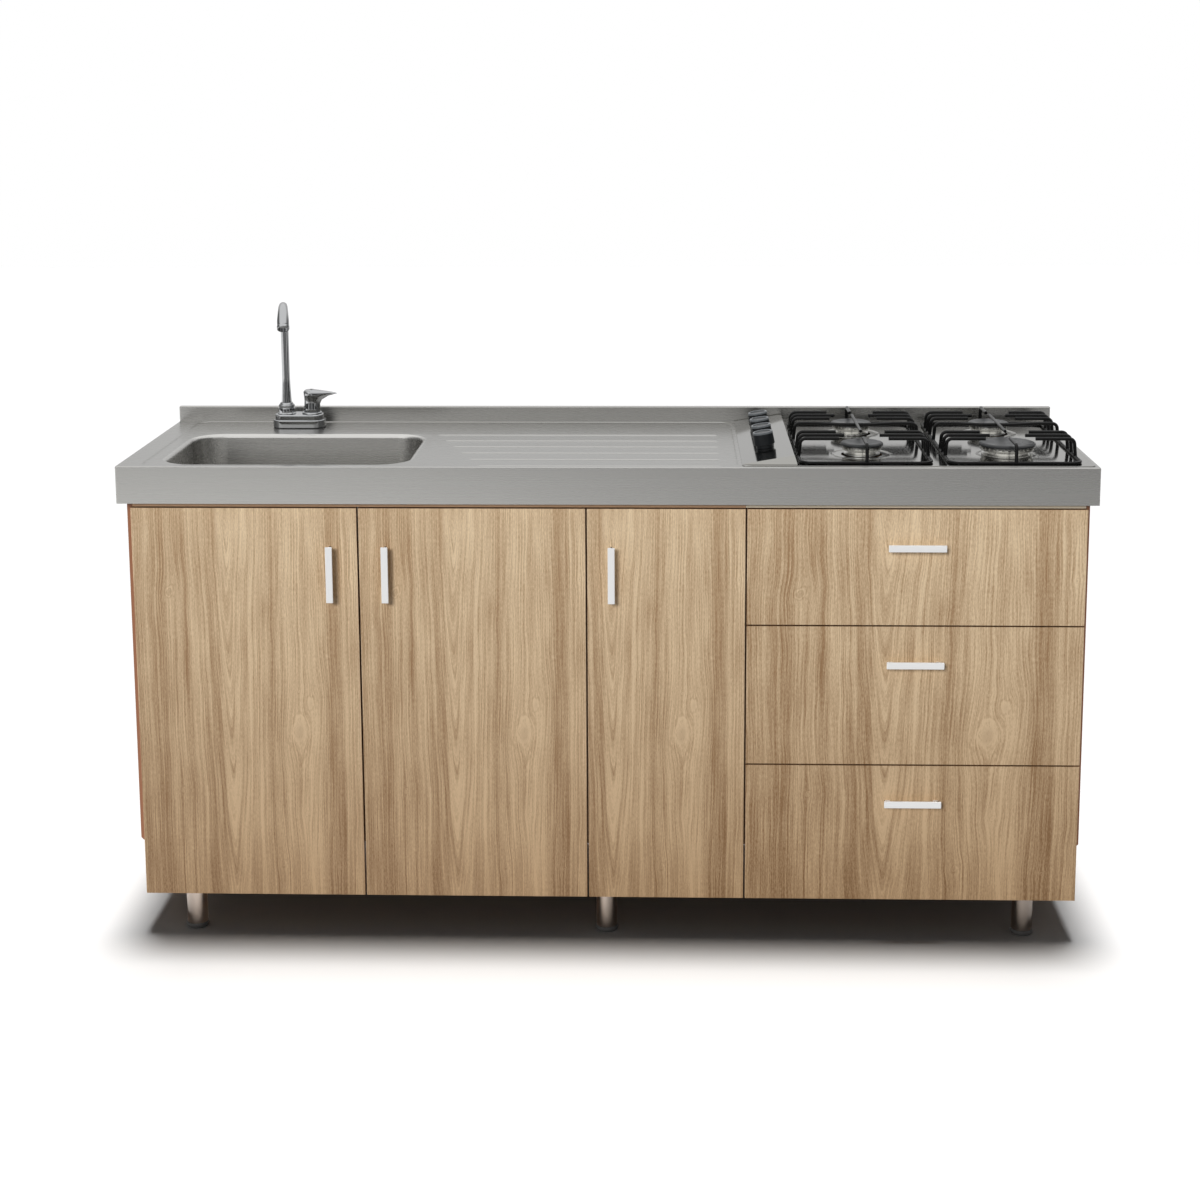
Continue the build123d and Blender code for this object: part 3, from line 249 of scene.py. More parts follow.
def woodPrint(name, left, stretch=1.0, shift=0.0, lay="front"):
    # lay says which way the board stands: its print runs up, or lengthways on a flat one
    look, grain = woodLook, woodGrain
    wood = Finish(name, roughness=look["roughness"], coatWeight=look["coat"],
                  coatRoughness=look["coatRoughness"])
    x, y, z = wood.axes()
    across = ((x if lay == "front" else y) * 1000 - left) * stretch + shift
    down = (x * 1000 - look["flatLeft"]) * look["flatStretch"] if lay == "flat" else look["top"] - z * 1000

    def layer(kind, place):
        fine, row, long, detail, rough = woodLayers[kind]
        return wood.noise(wood.point(place * fine, row, down * long), detail, rough) - 0.5

    drift = layer("drift", across) * grain["drift"]
    bent = across + drift
    mark, halo, apart = None, None, None
    for knotAcross, knotDown, halfWidth, halfHeight, strength in woodKnots:
        sideways = (across - knotAcross) / halfWidth
        upright = (down - knotDown + (across - knotAcross) * grain["knotLean"]) / halfHeight
        spread = sideways * sideways + upright * upright
        near = 1 / (spread + 1)
        bent = bent - sideways * near * (halfWidth * grain["knotPush"] * strength)
        spot = near ** grain["knotPower"] * strength
        glow = near * near * strength
        away = spread ** 0.5 * (grain["eyeSize"] / strength)
        mark = spot if mark is None else mark + spot
        halo = glow if halo is None else halo + glow
        apart = away if apart is None else away.sum("MINIMUM", away, apart)
    fromArch = bent - grain["archAcross"]
    hill = fromArch / grain["archReach"]
    slide = down * grain["archSlope"] / (hill * hill + 1)
    rings = (fromArch * fromArch + grain["archWidth"] ** 2) ** 0.5 + slide
    apart = apart + layer("swirl", across) * grain["eyeWander"]
    inEye = 1 - wood.between(apart, *grain["eyeEdge"])
    ringTone = layer("ring", rings)
    ringTone = ringTone + (layer("eye", apart) - ringTone) * inEye * grain["eyeRings"]
    pore = layer("pore", across)
    stops = [(place / look["width"], [tone, tone, tone, 1]) for place, tone in woodBands]
    band = wood.ramp((across + drift * grain["bandDrift"]) / look["width"], stops)
    tone = band * grain["band"] + ringTone * grain["ring"] + layer("streak", bent) * grain["streak"]
    tone = tone + layer("fine", rings) * grain["fine"] + layer("patch", across) * grain["patch"]
    tone = tone + pore * grain["pore"] - halo * grain["halo"] + grain["lift"]
    tone = tone + inEye * (1 - inEye) * grain["eyeRim"]
    # painted shade: the print darkens downwards, and along the length of a flat board
    fall = wood.node("ShaderNodeMapRange", {}, {0: down, 1: 0.0, 2: look["height"], 3: 0.0, 4: 1.0})
    pale = wood.mix(fall, look["paleTop"], look["paleLow"])
    dark = wood.mix(fall, look["darkTop"], look["darkLow"])
    low, high = grain["range"]
    share = wood.node("ShaderNodeMapRange", {}, {0: tone, 1: low, 2: high, 3: 0.0, 4: 1.0})
    colour = wood.mix(share, pale, dark)
    inKnot = wood.between(mark, *grain["knotEdge"]) * grain["knotShade"]
    colour = wood.mix(inKnot, colour, look["knot"])
    wood.bump(pore, 0.1, 0.0003)
    return wood, colour, y


def edgeBand(wood, y, edge, inward):
    # 1 on a board's edge, from its place along y, and 0 further in
    return 1 - wood.between(inward * (y - edge), *[depth * mm for depth in woodLook["bandEdge"]])


def frontFinish(name, left, stretch, shift, node):
    # printed face and back, with a plain band round the edges
    wood, colour, y = woodPrint(name, left, stretch, shift)
    low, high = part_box(node)
    printed = edgeBand(wood, y, low.y, 1) + edgeBand(wood, y, high.y, -1)
    wood.feed(baseColor=wood.mix(printed, woodLook["edge"], colour))
    return wood.made


def boardFinish(name, lay):
    # the carcass boards, in the same print, read along their length, with a plain front edge
    look = woodLook
    wood, colour, y = woodPrint(name, look["boardLeft"], look["boardStretch"], 0.0, lay)
    tinted = wood.mix(1.0, colour, look["boardTint"], "MULTIPLY")
    front = edgeBand(wood, y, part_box("side_panel_left")[0].y, 1)
    wood.feed(baseColor=wood.mix(front, tinted, look["boardEdge"]))
    return wood.made


def plainBoard(name, tone, low, high):
    board = Finish(name, roughness=0.55)
    speck = board.noise(board.stretched(900, 900, 900), 3.0, 0.6)
    cloud = board.noise(board.stretched(6, 6, 6), 2.0, 0.5)
    board.feed(baseColor=board.mix(speck * 0.5 + cloud * 0.5, low, high))
    board.feed(roughness=board.between(cloud, 0.3, 0.7, tone, tone + 0.12))
    return board.bump(speck, 0.06, 0.0002).made


def brushed(name, colour, along, rough, spread=0.01, mark=0.006, strength=0.002):
    # metal with fine brush lines along one axis
    steel = Finish(name, metallic=1.0)
    lines = [2.0 if n == along else 1100.0 for n in range(3)]
    wide = [0.3 if n == along else 160.0 for n in range(3)]
    brush = steel.noise(steel.stretched(*lines), 3.0, 0.6)
    sweep = steel.noise(steel.stretched(*wide), 2.0, 0.5)
    smear = steel.noise(steel.stretched(4, 4, 4), 2.0, 0.5)
    tone = brush * 0.5 + sweep * 0.35 + smear * 0.15
    dark = [value * (1 - mark * 2.2) for value in colour[:3]] + [1]
    pale = [min(1, value * (1 + mark * 2.2)) for value in colour[:3]] + [1]
    steel.feed(baseColor=steel.mix(tone, dark, pale))
    steel.feed(roughness=steel.between(tone, 0.3, 0.7, rough - spread, rough + spread))
    return steel.bump(brush, strength, 0.00006).made


def polished(name, colour, rough, cloudiness=0.03):
    metal = Finish(name, metallic=1.0)
    cloud = metal.noise(metal.stretched(55, 55, 55), 3.0, 0.55)
    metal.feed(baseColor=metal.mix(cloud, colour, [min(1, v * 1.06) for v in colour[:3]] + [1]))
    metal.feed(roughness=metal.between(cloud, 0.35, 0.75, rough, rough + cloudiness))
    return metal.made


def coated(name, colour, rough, grain, bumpHeight, mark=0.25, shine=0.5):
    # paint, enamel, plastic or rubber with a fine grain
    paint = Finish(name)
    paint.shader.inputs["Specular IOR Level"].default_value = shine
    fine = paint.noise(paint.stretched(grain, grain, grain), 3.0, 0.6)
    cloud = paint.noise(paint.stretched(30, 30, 30), 2.0, 0.5)
    dark = [value * (1 - mark) for value in colour[:3]] + [1]
    pale = [min(1, value * (1 + mark)) for value in colour[:3]] + [1]
    paint.feed(baseColor=paint.mix(fine * 0.5 + cloud * 0.5, dark, pale))
    paint.feed(roughness=paint.between(cloud, 0.3, 0.7, rough * 0.85, rough * 1.2))
    return paint.bump(fine, 0.25, bumpHeight).made


finishes = {
    "worktopSteel": brushed("worktopSteel", linear(175, 174, 171), 0, 0.27),
    "bowlSteel": brushed("bowlSteel", linear(196, 195, 192), 0, 0.27),
    "hobSteel": brushed("hobSteel", linear(154, 153, 149), 0, 0.1),
    "chrome": polished("chrome", linear(168, 169, 170), 0.05),
    # leg steel: darker and browner than steel, a painted reflection of darker surroundings
    "legSteel": brushed("legSteel", linear(166, 155, 146), 2, 0.14),
    "zinc": brushed("zinc", linear(178, 180, 182), 1, 0.32),
    "aluminium": brushed("aluminium", linear(214, 213, 209), 2, 0.2, mark=0.04),
    "brass": brushed("brass", linear(214, 184, 120), 0, 0.3),
    "pipeSteel": brushed("pipeSteel", linear(160, 160, 162), 1, 0.35),
    "blackWire": coated("blackWire", linear(6, 6, 6), 0.28, 1500, 0.00002, shine=0.22),
    "enamel": coated("enamel", linear(40, 41, 42), 0.32, 2600, 0.00004, shine=0.22),
    "knobPlastic": coated("knobPlastic", linear(20, 22, 24), 0.32, 2400, 0.00004, shine=0.28),
    "knobRing": coated("knobRing", linear(88, 91, 94), 0.3, 2400, 0.00004, mark=0.08),
    "rubber": coated("rubber", linear(32, 32, 33), 0.6, 1800, 0.0001),
    "footPlastic": coated("footPlastic", linear(48, 47, 46), 0.5, 2000, 0.0001),
    "handlePaint": coated("handlePaint", linear(254, 254, 253), 0.36, 2200, 0.00003, mark=0.02),
    "trapPlastic": coated("trapPlastic", linear(236, 235, 231), 0.4, 1500, 0.00004, mark=0.03),
    "whiteBoard": plainBoard("whiteBoard", 0.5, linear(206, 204, 198), linear(220, 218, 213)),
    # strip colours: painted light, paler than the board edges they stand for, with the first one darker as
    # painted shade
    "stripPaintedShade": plainBoard("stripPaintedShade", 0.5, linear(206, 164, 128), linear(222, 182, 146)),
    "stripPaintedLight": plainBoard("stripPaintedLight", 0.5, linear(244, 226, 198), linear(250, 236, 212)),
    "coreBoard": plainBoard("coreBoard", 0.7, linear(150, 126, 92), linear(186, 160, 122)),
}
print("stage 2: finishes made")


# Shaping: every helper works in mm, and a piece is brought to metres when it is done
def addBox(bm, x, y, z):
    verts = bmesh.ops.create_cube(bm, size=1)["verts"]
    bmesh.ops.scale(bm, vec=(x[1] - x[0], y[1] - y[0], z[1] - z[0]), verts=verts)
    bmesh.ops.translate(bm, vec=(middle(x), middle(y), middle(z)), verts=verts)
    return verts


def soften(bm, edges, width, steps=3):
    # round these edges off
    bmesh.ops.bevel(bm, geom=list(edges), offset=width, offset_type="OFFSET", segments=steps,
                    profile=0.5, affect="EDGES", material=-1, clamp_overlap=True)


def sharpEdges(bm, degrees=40, keep=lambda edge: True):
    limit = math.radians(degrees)
    return [e for e in bm.edges if e.is_manifold and abs(e.calc_face_angle()) > limit and keep(e)]


def addPlate(bm, x, y, corner, z, steps=10):
    # one upward face with rounded corners
    verts = bmesh.ops.create_grid(bm, x_segments=1, y_segments=1, size=0.5)["verts"]
    bmesh.ops.scale(bm, vec=(x[1] - x[0], y[1] - y[0], 1), verts=verts)
    bmesh.ops.translate(bm, vec=(middle(x), middle(y), z), verts=verts)
    face = verts[0].link_faces[0]
    if corner:
        near = Vector((middle(x), middle(y), z))
        bmesh.ops.bevel(bm, geom=verts, offset=corner, offset_type="OFFSET", segments=steps,
                        profile=0.5, affect="VERTICES", material=-1)
        face = min(bm.faces, key=lambda f: (f.calc_center_median() - near).length)
    if face.normal.z < 0:
        bmesh.ops.reverse_faces(bm, faces=[face])
    return face


def addDisc(bm, x, y, z, radius, sides=64):
    verts = bmesh.ops.create_circle(bm, cap_ends=True, segments=sides, radius=radius)["verts"]
    bmesh.ops.translate(bm, vec=(x, y, z), verts=verts)
    face = verts[0].link_faces[0]
    if face.normal.z < 0:
        bmesh.ops.reverse_faces(bm, faces=[face])
    return face


def step(bm, face, inward, lift):
    # a band inside a face: how far it moves in and up
    bmesh.ops.inset_individual(bm, faces=[face], thickness=inward, use_even_offset=True)
    bmesh.ops.translate(bm, vec=up * lift, verts=face.verts)
    return face


def roundStep(bm, face, radius, fall, steps=5, outward=True):
    # a quarter round down into a face: level first when outward, upright first otherwise
    turn = math.pi / 2 / steps
    for n in range(steps):
        a, b = n * turn, (n + 1) * turn
        if outward:
            step(bm, face, radius * (math.sin(b) - math.sin(a)), fall * radius * (math.cos(a) - math.cos(b)))
        else:
            step(bm, face, radius * (math.cos(a) - math.cos(b)), fall * radius * (math.sin(b) - math.sin(a)))
    return face


def openUp(bm, face):
    bmesh.ops.delete(bm, geom=[face], context="FACES_ONLY")


def fillBetween(bm, z):
    # a flat sheet between all the open edges at this height
    edges = [e for e in bm.edges if len(e.link_faces) < 2 and all(abs(v.co.z - z) < 0.01 for v in e.verts)]
    made = bmesh.ops.triangle_fill(bm, use_beauty=True, use_dissolve=False, edges=edges, normal=up)["geom"]
    faces = [g for g in made if isinstance(g, bmesh.types.BMFace)]
    bm.normal_update()
    down = [f for f in faces if f.normal.z < 0]
    bmesh.ops.reverse_faces(bm, faces=down)
    return faces


def turned(bm, profile, steps=64, matrix=Matrix.Identity(4)):
    # a profile of (radius, height) points turned round the upright axis, then moved by the matrix
    verts = [bm.verts.new((radius, 0, height)) for radius, height in profile]
    edges = [bm.edges.new(pair) for pair in zip(verts, verts[1:])]
    before = set(bm.verts) - set(verts)
    bmesh.ops.spin(bm, geom=verts + edges, cent=(0, 0, 0), axis=(0, 0, 1), angle=math.tau, steps=steps,
                   use_merge=True, use_duplicate=False)
    made = [v for v in bm.verts if v not in before]
    bmesh.ops.remove_doubles(bm, verts=made, dist=0.001)
    made = [v for v in bm.verts if v not in before]
    bmesh.ops.transform(bm, matrix=matrix, verts=made)
    return made


class Bar:
    # a round bar grown from a ring, along straight stretches and bends
    def __init__(self, bm, start, heading, radius, sides=12):
        self.bm = bm
        self.place = Vector(start)
        self.heading = Vector(heading).normalized()
        turn = up.rotation_difference(self.heading).to_matrix().to_4x4()
        made = bmesh.ops.create_circle(bm, cap_ends=False, segments=sides, radius=radius,
                                       matrix=Matrix.Translation(self.place) @ turn)
        self.ring = list({e for v in made["verts"] for e in v.link_edges})
        self.firstRing = list(self.ring)

    def straight(self, length, grow=1.0):
        made = bmesh.ops.extrude_edge_only(self.bm, edges=self.ring)["geom"]
        verts = [g for g in made if isinstance(g, bmesh.types.BMVert)]
        self.ring = [g for g in made if isinstance(g, bmesh.types.BMEdge)]
        bmesh.ops.translate(self.bm, vec=self.heading * length, verts=verts)
        self.place = self.place + self.heading * length
        if grow != 1.0:
            bmesh.ops.scale(self.bm, vec=(grow,) * 3, space=Matrix.Translation(-self.place), verts=verts)

    def bend(self, axis, radius, angle, steps=6):
        side = Vector(axis).cross(self.heading).normalized()
        centre = self.place + side * radius
        verts = list({v for e in self.ring for v in e.verts})
        made = bmesh.ops.spin(self.bm, geom=verts + self.ring, cent=centre, axis=axis, angle=angle,
                              steps=steps, use_duplicate=False)["geom_last"]
        self.ring = [g for g in made if isinstance(g, bmesh.types.BMEdge)]
        turn = Matrix.Rotation(angle, 3, Vector(axis))
        self.place = centre + turn @ (self.place - centre)
        self.heading = turn @ self.heading

    def close(self):
        for ring in (self.firstRing, self.ring):
            bmesh.ops.edgeloop_fill(self.bm, edges=ring)


def addBar(bm, points, bends, radius, sides=12, ring=False):
    # a bar through these points with a bend radius at each corner
    points = [Vector(p) for p in points]
    legs = [b - a for a, b in zip(points, points[1:])]
    taken = []
    for n, bend in enumerate(bends):
        angle = legs[n].angle(legs[n + 1])
        taken.append((angle, bend * math.tan(angle / 2)))
    bar = Bar(bm, points[0], legs[0], radius, sides)
    for n, leg in enumerate(legs):
        length = leg.length
        length -= taken[n - 1][1] if n else 0
        length -= taken[n][1] if n < len(taken) else 0
        bar.straight(length)
        if n < len(taken):
            axis = leg.cross(legs[n + 1]).normalized()
            bar.bend(axis, bends[n], taken[n][0], max(2, round(math.degrees(taken[n][0]) / 12)))
    if not ring:
        bar.close()
    return bar


def finishPiece(name, bm, body, finish, replaced=(), angle=35, wall=None, outside=True):
    # merge, turn the faces outwards, bring to metres, and let the piece ride on its body
    bmesh.ops.remove_doubles(bm, verts=bm.verts, dist=0.002)
    if outside:
        bmesh.ops.recalc_face_normals(bm, faces=bm.faces)
    bmesh.ops.scale(bm, vec=(mm, mm, mm), verts=bm.verts)
    mesh = bpy.data.meshes.new(name)
    bm.to_mesh(mesh)
    bm.free()
    mesh.shade_smooth()
    mesh.set_sharp_from_angle(angle=math.radians(angle))
    piece = bpy.data.objects.new(name, mesh)
    bpy.context.scene.collection.objects.link(piece)
    mesh.materials.append(finishes[finish])
    if wall:
        solid = piece.modifiers.new("wall", "SOLIDIFY")
        solid.thickness = wall * mm
        solid.offset = -1
    weighted = piece.modifiers.new("shading", "WEIGHTED_NORMAL")
    weighted.keep_sharp = True
    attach(piece, body)
    if replaced:
        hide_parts(*replaced)
    return piece


# Camera: close to where the photograph was taken from, in metres, degrees and shares of the picture
cameraPlace = {
    "place": (0.118, -3.913, 1.607),
    "pitch": 9.41,
    "yaw": 1.91,
    "roll": 0.27,
    "lens": 61.23,
    "shift": -0.15,
}


def makeCamera():
    data = bpy.data.cameras.new("camera")
    camera = bpy.data.objects.new("camera", data)
    bpy.context.scene.collection.objects.link(camera)
    data.lens = cameraPlace["lens"]
    data.shift_y = cameraPlace["shift"]
    camera.location = cameraPlace["place"]
    camera.rotation_mode = "XYZ"
    camera.rotation_euler = (math.radians(90 - cameraPlace["pitch"]), math.radians(cameraPlace["roll"]),
                             math.radians(cameraPlace["yaw"]))
    bpy.context.scene.camera = camera


makeCamera()

# The worktop: aprons, upstand, recess, ribs, and openings for bowl and hob
worktopShape = {
    "sheet": 1.2,
    "upstand": 31,
    "upstandDepth": 12,
    "edge": 2.2,
    "lip": 12,
    "recessLeft": -858,
    "recessRight": 246,
    "recessFront": -250,
    "recessBack": 246,
    "recessCorner": 26,
    "recessDrop": 2,
    "recessSteps": ((0.9, 0.125), (0.8, 0.375), (0.8, 0.375), (0.9, 0.125)),
    "ribs": 6,
    "ribFirst": -239,
    "ribPitch": 66,
    "ribWidth": 9,
    "ribSteps": ((1.0, 0.35), (0.9, 0.5), (0.9, 0.4), (0.8, 0.15)),
    "ribLeft": -233,
    "ribSlant": 21.8,
    "ribRight": 215,
    "hobOverlap": 14,
    "hobCorner": 4,
}
worktopX, worktopY, worktopZ = spans("worktop")
deckZ = worktopZ[1] - worktopShape["upstand"]
recessZ = deckZ - worktopShape["recessDrop"]
bowlShape = {
    "middle": (-596, -61),
    "length": 456,
    "width": 320,
    "corner": 58,
    "rim": 8,
    "floor": 752,
    "bottomRadius": 26,
    "draft": 4,
    "drain": 52,
    "drainRim": 14,
    "wall": 1.2,
}


def bowlRim(bm, z):
    # the outline where the bowl's rim leaves the worktop
    halfLength = bowlShape["length"] / 2 + bowlShape["rim"]
    halfWidth = bowlShape["width"] / 2 + bowlShape["rim"]
    x, y = bowlShape["middle"]
    return addPlate(bm, (x - halfLength, x + halfLength), (y - halfWidth, y + halfWidth),
                    bowlShape["corner"] + bowlShape["rim"], z, 14)


def makeWorktop():
    shape = worktopShape
    bm = bmesh.new()
    upstandY = worktopY[1] - shape["upstandDepth"]
    addBox(bm, worktopX, worktopY, (worktopZ[0], deckZ))
    bmesh.ops.bisect_plane(bm, geom=bm.faces[:] + bm.edges[:] + bm.verts[:], plane_co=(0, upstandY, 0),
                           plane_no=(0, 1, 0))
    strip = [f for f in bm.faces if f.normal.z > 0.9 and f.calc_center_median().y > upstandY]
    raised = bmesh.ops.extrude_face_region(bm, geom=strip)["geom"]
    bmesh.ops.translate(bm, vec=(0, 0, shape["upstand"]),
                        verts=[g for g in raised if isinstance(g, bmesh.types.BMVert)])
    bmesh.ops.delete(bm, geom=[f for f in bm.faces if f.normal.z < -0.9], context="FACES_ONLY")

    def isRounded(edge):
        a, b = (v.co for v in edge.verts)
        outer = abs(abs(middle((a.x, b.x))) - worktopX[1]) < 1 or middle((a.y, b.y)) < worktopY[0] + 1
        onTop = a.z > worktopZ[0] + 1 or b.z > worktopZ[0] + 1
        atBack = min(a.y, b.y) > upstandY + 1
        return onTop and (outer or a.z > deckZ + 1 or b.z > deckZ + 1) and not (atBack and a.z != b.z)

    soften(bm, sharpEdges(bm, 40, isRounded), shape["edge"], 4)
    deck = max((f for f in bm.faces if f.normal.z > 0.99 and abs(f.calc_center_median().z - deckZ) < 1),
               key=lambda f: f.calc_area())
    openUp(bm, deck)
    recess = addPlate(bm, (shape["recessLeft"], shape["recessRight"]),
                      (shape["recessFront"], shape["recessBack"]), shape["recessCorner"], deckZ)
    for inward, share in shape["recessSteps"]:
        step(bm, recess, inward, -share * shape["recessDrop"])
    under = shape["hobOverlap"]
    hobHole = addPlate(bm, (hobX[0] + under, hobX[1] - under), (hobY[0] + under, hobY[1] - under),
                       shape["hobCorner"], deckZ, 3)
    openUp(bm, hobHole)
    fillBetween(bm, deckZ)
    openUp(bm, recess)
    openUp(bm, bowlRim(bm, recessZ))
    for n in range(shape["ribs"]):
        y = shape["ribFirst"] + n * shape["ribPitch"]
        half = shape["ribWidth"] / 2
        left = shape["ribLeft"] - n * shape["ribSlant"]
        rib = addPlate(bm, (left, shape["ribRight"]), (y - half, y + half), half - 0.6, recessZ, 6)
        for inward, lift in shape["ribSteps"]:
            step(bm, rib, inward, lift)
    fillBetween(bm, recessZ)
    front = [e for e in bm.edges if e.is_boundary and abs(e.verts[0].co.z - worktopZ[0]) < 0.1
             and abs(e.verts[1].co.z - worktopZ[0]) < 0.1 and max(v.co.y for v in e.verts) < worktopY[0] + 1]
    lip = bmesh.ops.extrude_edge_only(bm, edges=front)["geom"]
    bmesh.ops.translate(bm, vec=(0, shape["lip"], 0),
                        verts=[g for g in lip if isinstance(g, bmesh.types.BMVert)])
    finishPiece("worktopSkin", bm, "cabinet", "worktopSteel", ["worktop"],
                wall=shape["sheet"], outside=False)


def makeBowl():
    shape = bowlShape
    bm = bmesh.new()
    face = bowlRim(bm, recessZ)
    roundStep(bm, face, shape["rim"], -1, 6)
    wall = recessZ - shape["rim"] - shape["floor"] - shape["bottomRadius"]
    draft = wall * math.tan(math.radians(shape["draft"]))
    for n in range(4):
        step(bm, face, draft / 4, -wall / 4)
    roundStep(bm, face, shape["bottomRadius"], -1, 8, outward=False)
    step(bm, face, 4, 0)
    openUp(bm, face)
    drain = addDisc(bm, *shape["middle"], shape["floor"], shape["drain"] + shape["drainRim"], 72)
    step(bm, drain, 6, -0.8)
    step(bm, drain, 6, -0.4)
    openUp(bm, drain)
    fillBetween(bm, shape["floor"])
    finishPiece("bowlSkin", bm, "cabinet", "bowlSteel", ["sink_bowl"],
                wall=shape["wall"], outside=False)


# The hob plate with its sloping console
hobX, hobY = spans("hob_panel")[:2]
hobShape = {
    "thickness": 1.2,
    "corner": 9,
    "ridge": 97,
    "foot": 102,
    "rise": 15,
    "front": 14,
    "slant": 9,
    "back": 2,
    "inset": 0.5,
    "lap": 0.4,
    "edge": 3.0,
    "ring": 58,
    "ringSteps": ((0.8, 0.3), (0.9, 0.4), (1.0, 0.1), (1.0, -0.1), (0.9, -0.4), (0.8, -0.5), (6, -0.25),
                  (8, 0.05)),
}
hobTop = deckZ + hobShape["thickness"]
burnerColumns = {"left": 480, "right": 751}
burnerRows = (-129, 101)
burnerCaps = {"small": 40, "large": 53}
burnerPlaces = [(x, y, burnerCaps["large" if side == "right" and y == burnerRows[0] else "small"])
                for side, x in burnerColumns.items() for y in burnerRows]


def makeHob():
    shape = hobShape
    bm = bmesh.new()
    plate = addPlate(bm, hobX, hobY, shape["corner"], deckZ, 6)
    step(bm, plate, 0.01, shape["thickness"] * 0.5)
    roundStep(bm, plate, shape["thickness"] * 0.5, 1, 3, outward=False)
    openUp(bm, plate)
    for x, y, cap in burnerPlaces:
        ring = addDisc(bm, x, y, hobTop, shape["ring"], 72)
        for inward, lift in shape["ringSteps"]:
            step(bm, ring, inward, lift)
        openUp(bm, ring)
    fillBetween(bm, hobTop)
    corners = addBox(bm, (0, 1), (0, 1), (0, 1))
    for v in corners:
        right, back, high = v.co.x > 0.5, v.co.y > 0.5, v.co.z > 0.5
        x = hobX[0] + (shape["ridge"] if high else shape["foot"]) if right else hobX[0] + shape["inset"]
        y = hobY[1] - shape["back"] if back else hobY[0] + shape["front"]
        if high and right:
            y += -shape["slant"] / 2 if back else shape["slant"]
        lap = shape["lap"] if high else -shape["lap"]
        v.co = (x, y, hobTop + (shape["rise"] if high and right else lap))
    body = {e for v in corners for e in v.link_edges}
    upper = [e for e in body if e.is_manifold and max(v.co.z for v in e.verts) > hobTop + shape["rise"] / 3]
    soften(bm, upper, shape["edge"], 4)
    finishPiece("hobSkin", bm, "cabinet", "hobSteel", ["hob_panel"], outside=False)


makeWorktop()
makeBowl()
makeHob()
print("stage 3: worktop, bowl and hob plate made")

# Burners: slotted crowns and dished caps
burnerShape = {
    "slots": 28,
    "slotSteps": 5,
    "slotDepth": 2.5,
    "slotHeight": 4.5,
    "crownInset": 3,
    "rim": 0.6,
}


def makeBurners():
    shape = burnerShape
    foot, head = spans("burner_crowns")[2]
    low, high = spans("burner_caps")[2]
    slotFoot, slotHead = head - shape["slotHeight"], head - shape["rim"]
    steps = shape["slots"] * shape["slotSteps"]
    crowns = bmesh.new()
    caps = bmesh.new()
    for x, y, cap in burnerPlaces:
        place = Matrix.Translation((x, y, 0))
        radius = cap - shape["crownInset"]
        made = set(turned(crowns, [
            (0, foot), (radius - 9, foot), (radius - 8, foot + 4), (radius - 1.5, foot + 6),
            (radius - 0.4, foot + 7.5), (radius, slotFoot), (radius, slotHead), (radius - shape["rim"], head),
            (0, head)], steps, place))
        outer = []
        for f in {f for v in made for f in v.link_faces}:
            c = f.calc_center_median()
            turn = math.degrees(math.atan2(c.y - y, c.x - x)) % (360 / shape["slots"])
            inSlot = slotFoot < c.z < slotHead and turn < 2 * 360 / steps
            if inSlot and f.normal.z < 0.3:
                outer.append(f)
        bmesh.ops.recalc_face_normals(crowns, faces=crowns.faces)
        bmesh.ops.inset_region(crowns, faces=outer, thickness=0.05, depth=-shape["slotDepth"],
                               use_even_offset=True)
        turned(caps, [
            (0, low), (cap - 2, low), (cap - 0.3, low + 0.7), (cap, low + 2.0), (cap - 0.4, low + 3.6),
            (cap - 2.2, high - 0.9), (cap - 4.5, high - 0.1), (cap - 7, high), (cap * 0.7, high - 0.3),
            (cap * 0.62, high - 1.0), (cap * 0.3, high - 1.3), (0, high - 1.4)], 72, place)
    finishPiece("burnerCrowns", crowns, "cabinet", "aluminium", ["burner_crowns"], 30)
    finishPiece("burnerCaps", caps, "cabinet", "enamel", ["burner_caps"], 50)


# Pan supports of bent round bar
supportShape = {
    "half": 120,
    "frame": (-235, 207),
    "corner": 22,
    "height": 37,
    "frameRadius": 2.8,
    "fingerRadius": 3.3,
    "topRadius": 3.0,
    "row": 37,
    "riser": 117,
    "longGap": 33,
    "shortGap": 46,
    "bend": 10,
    "crossbar": 6,
    "bow": 14,
    "flat": 32,
    "straight": 72,
    "bowBend": 50,
    "topBar": (-102, 86),
    "topLift": 3,
}


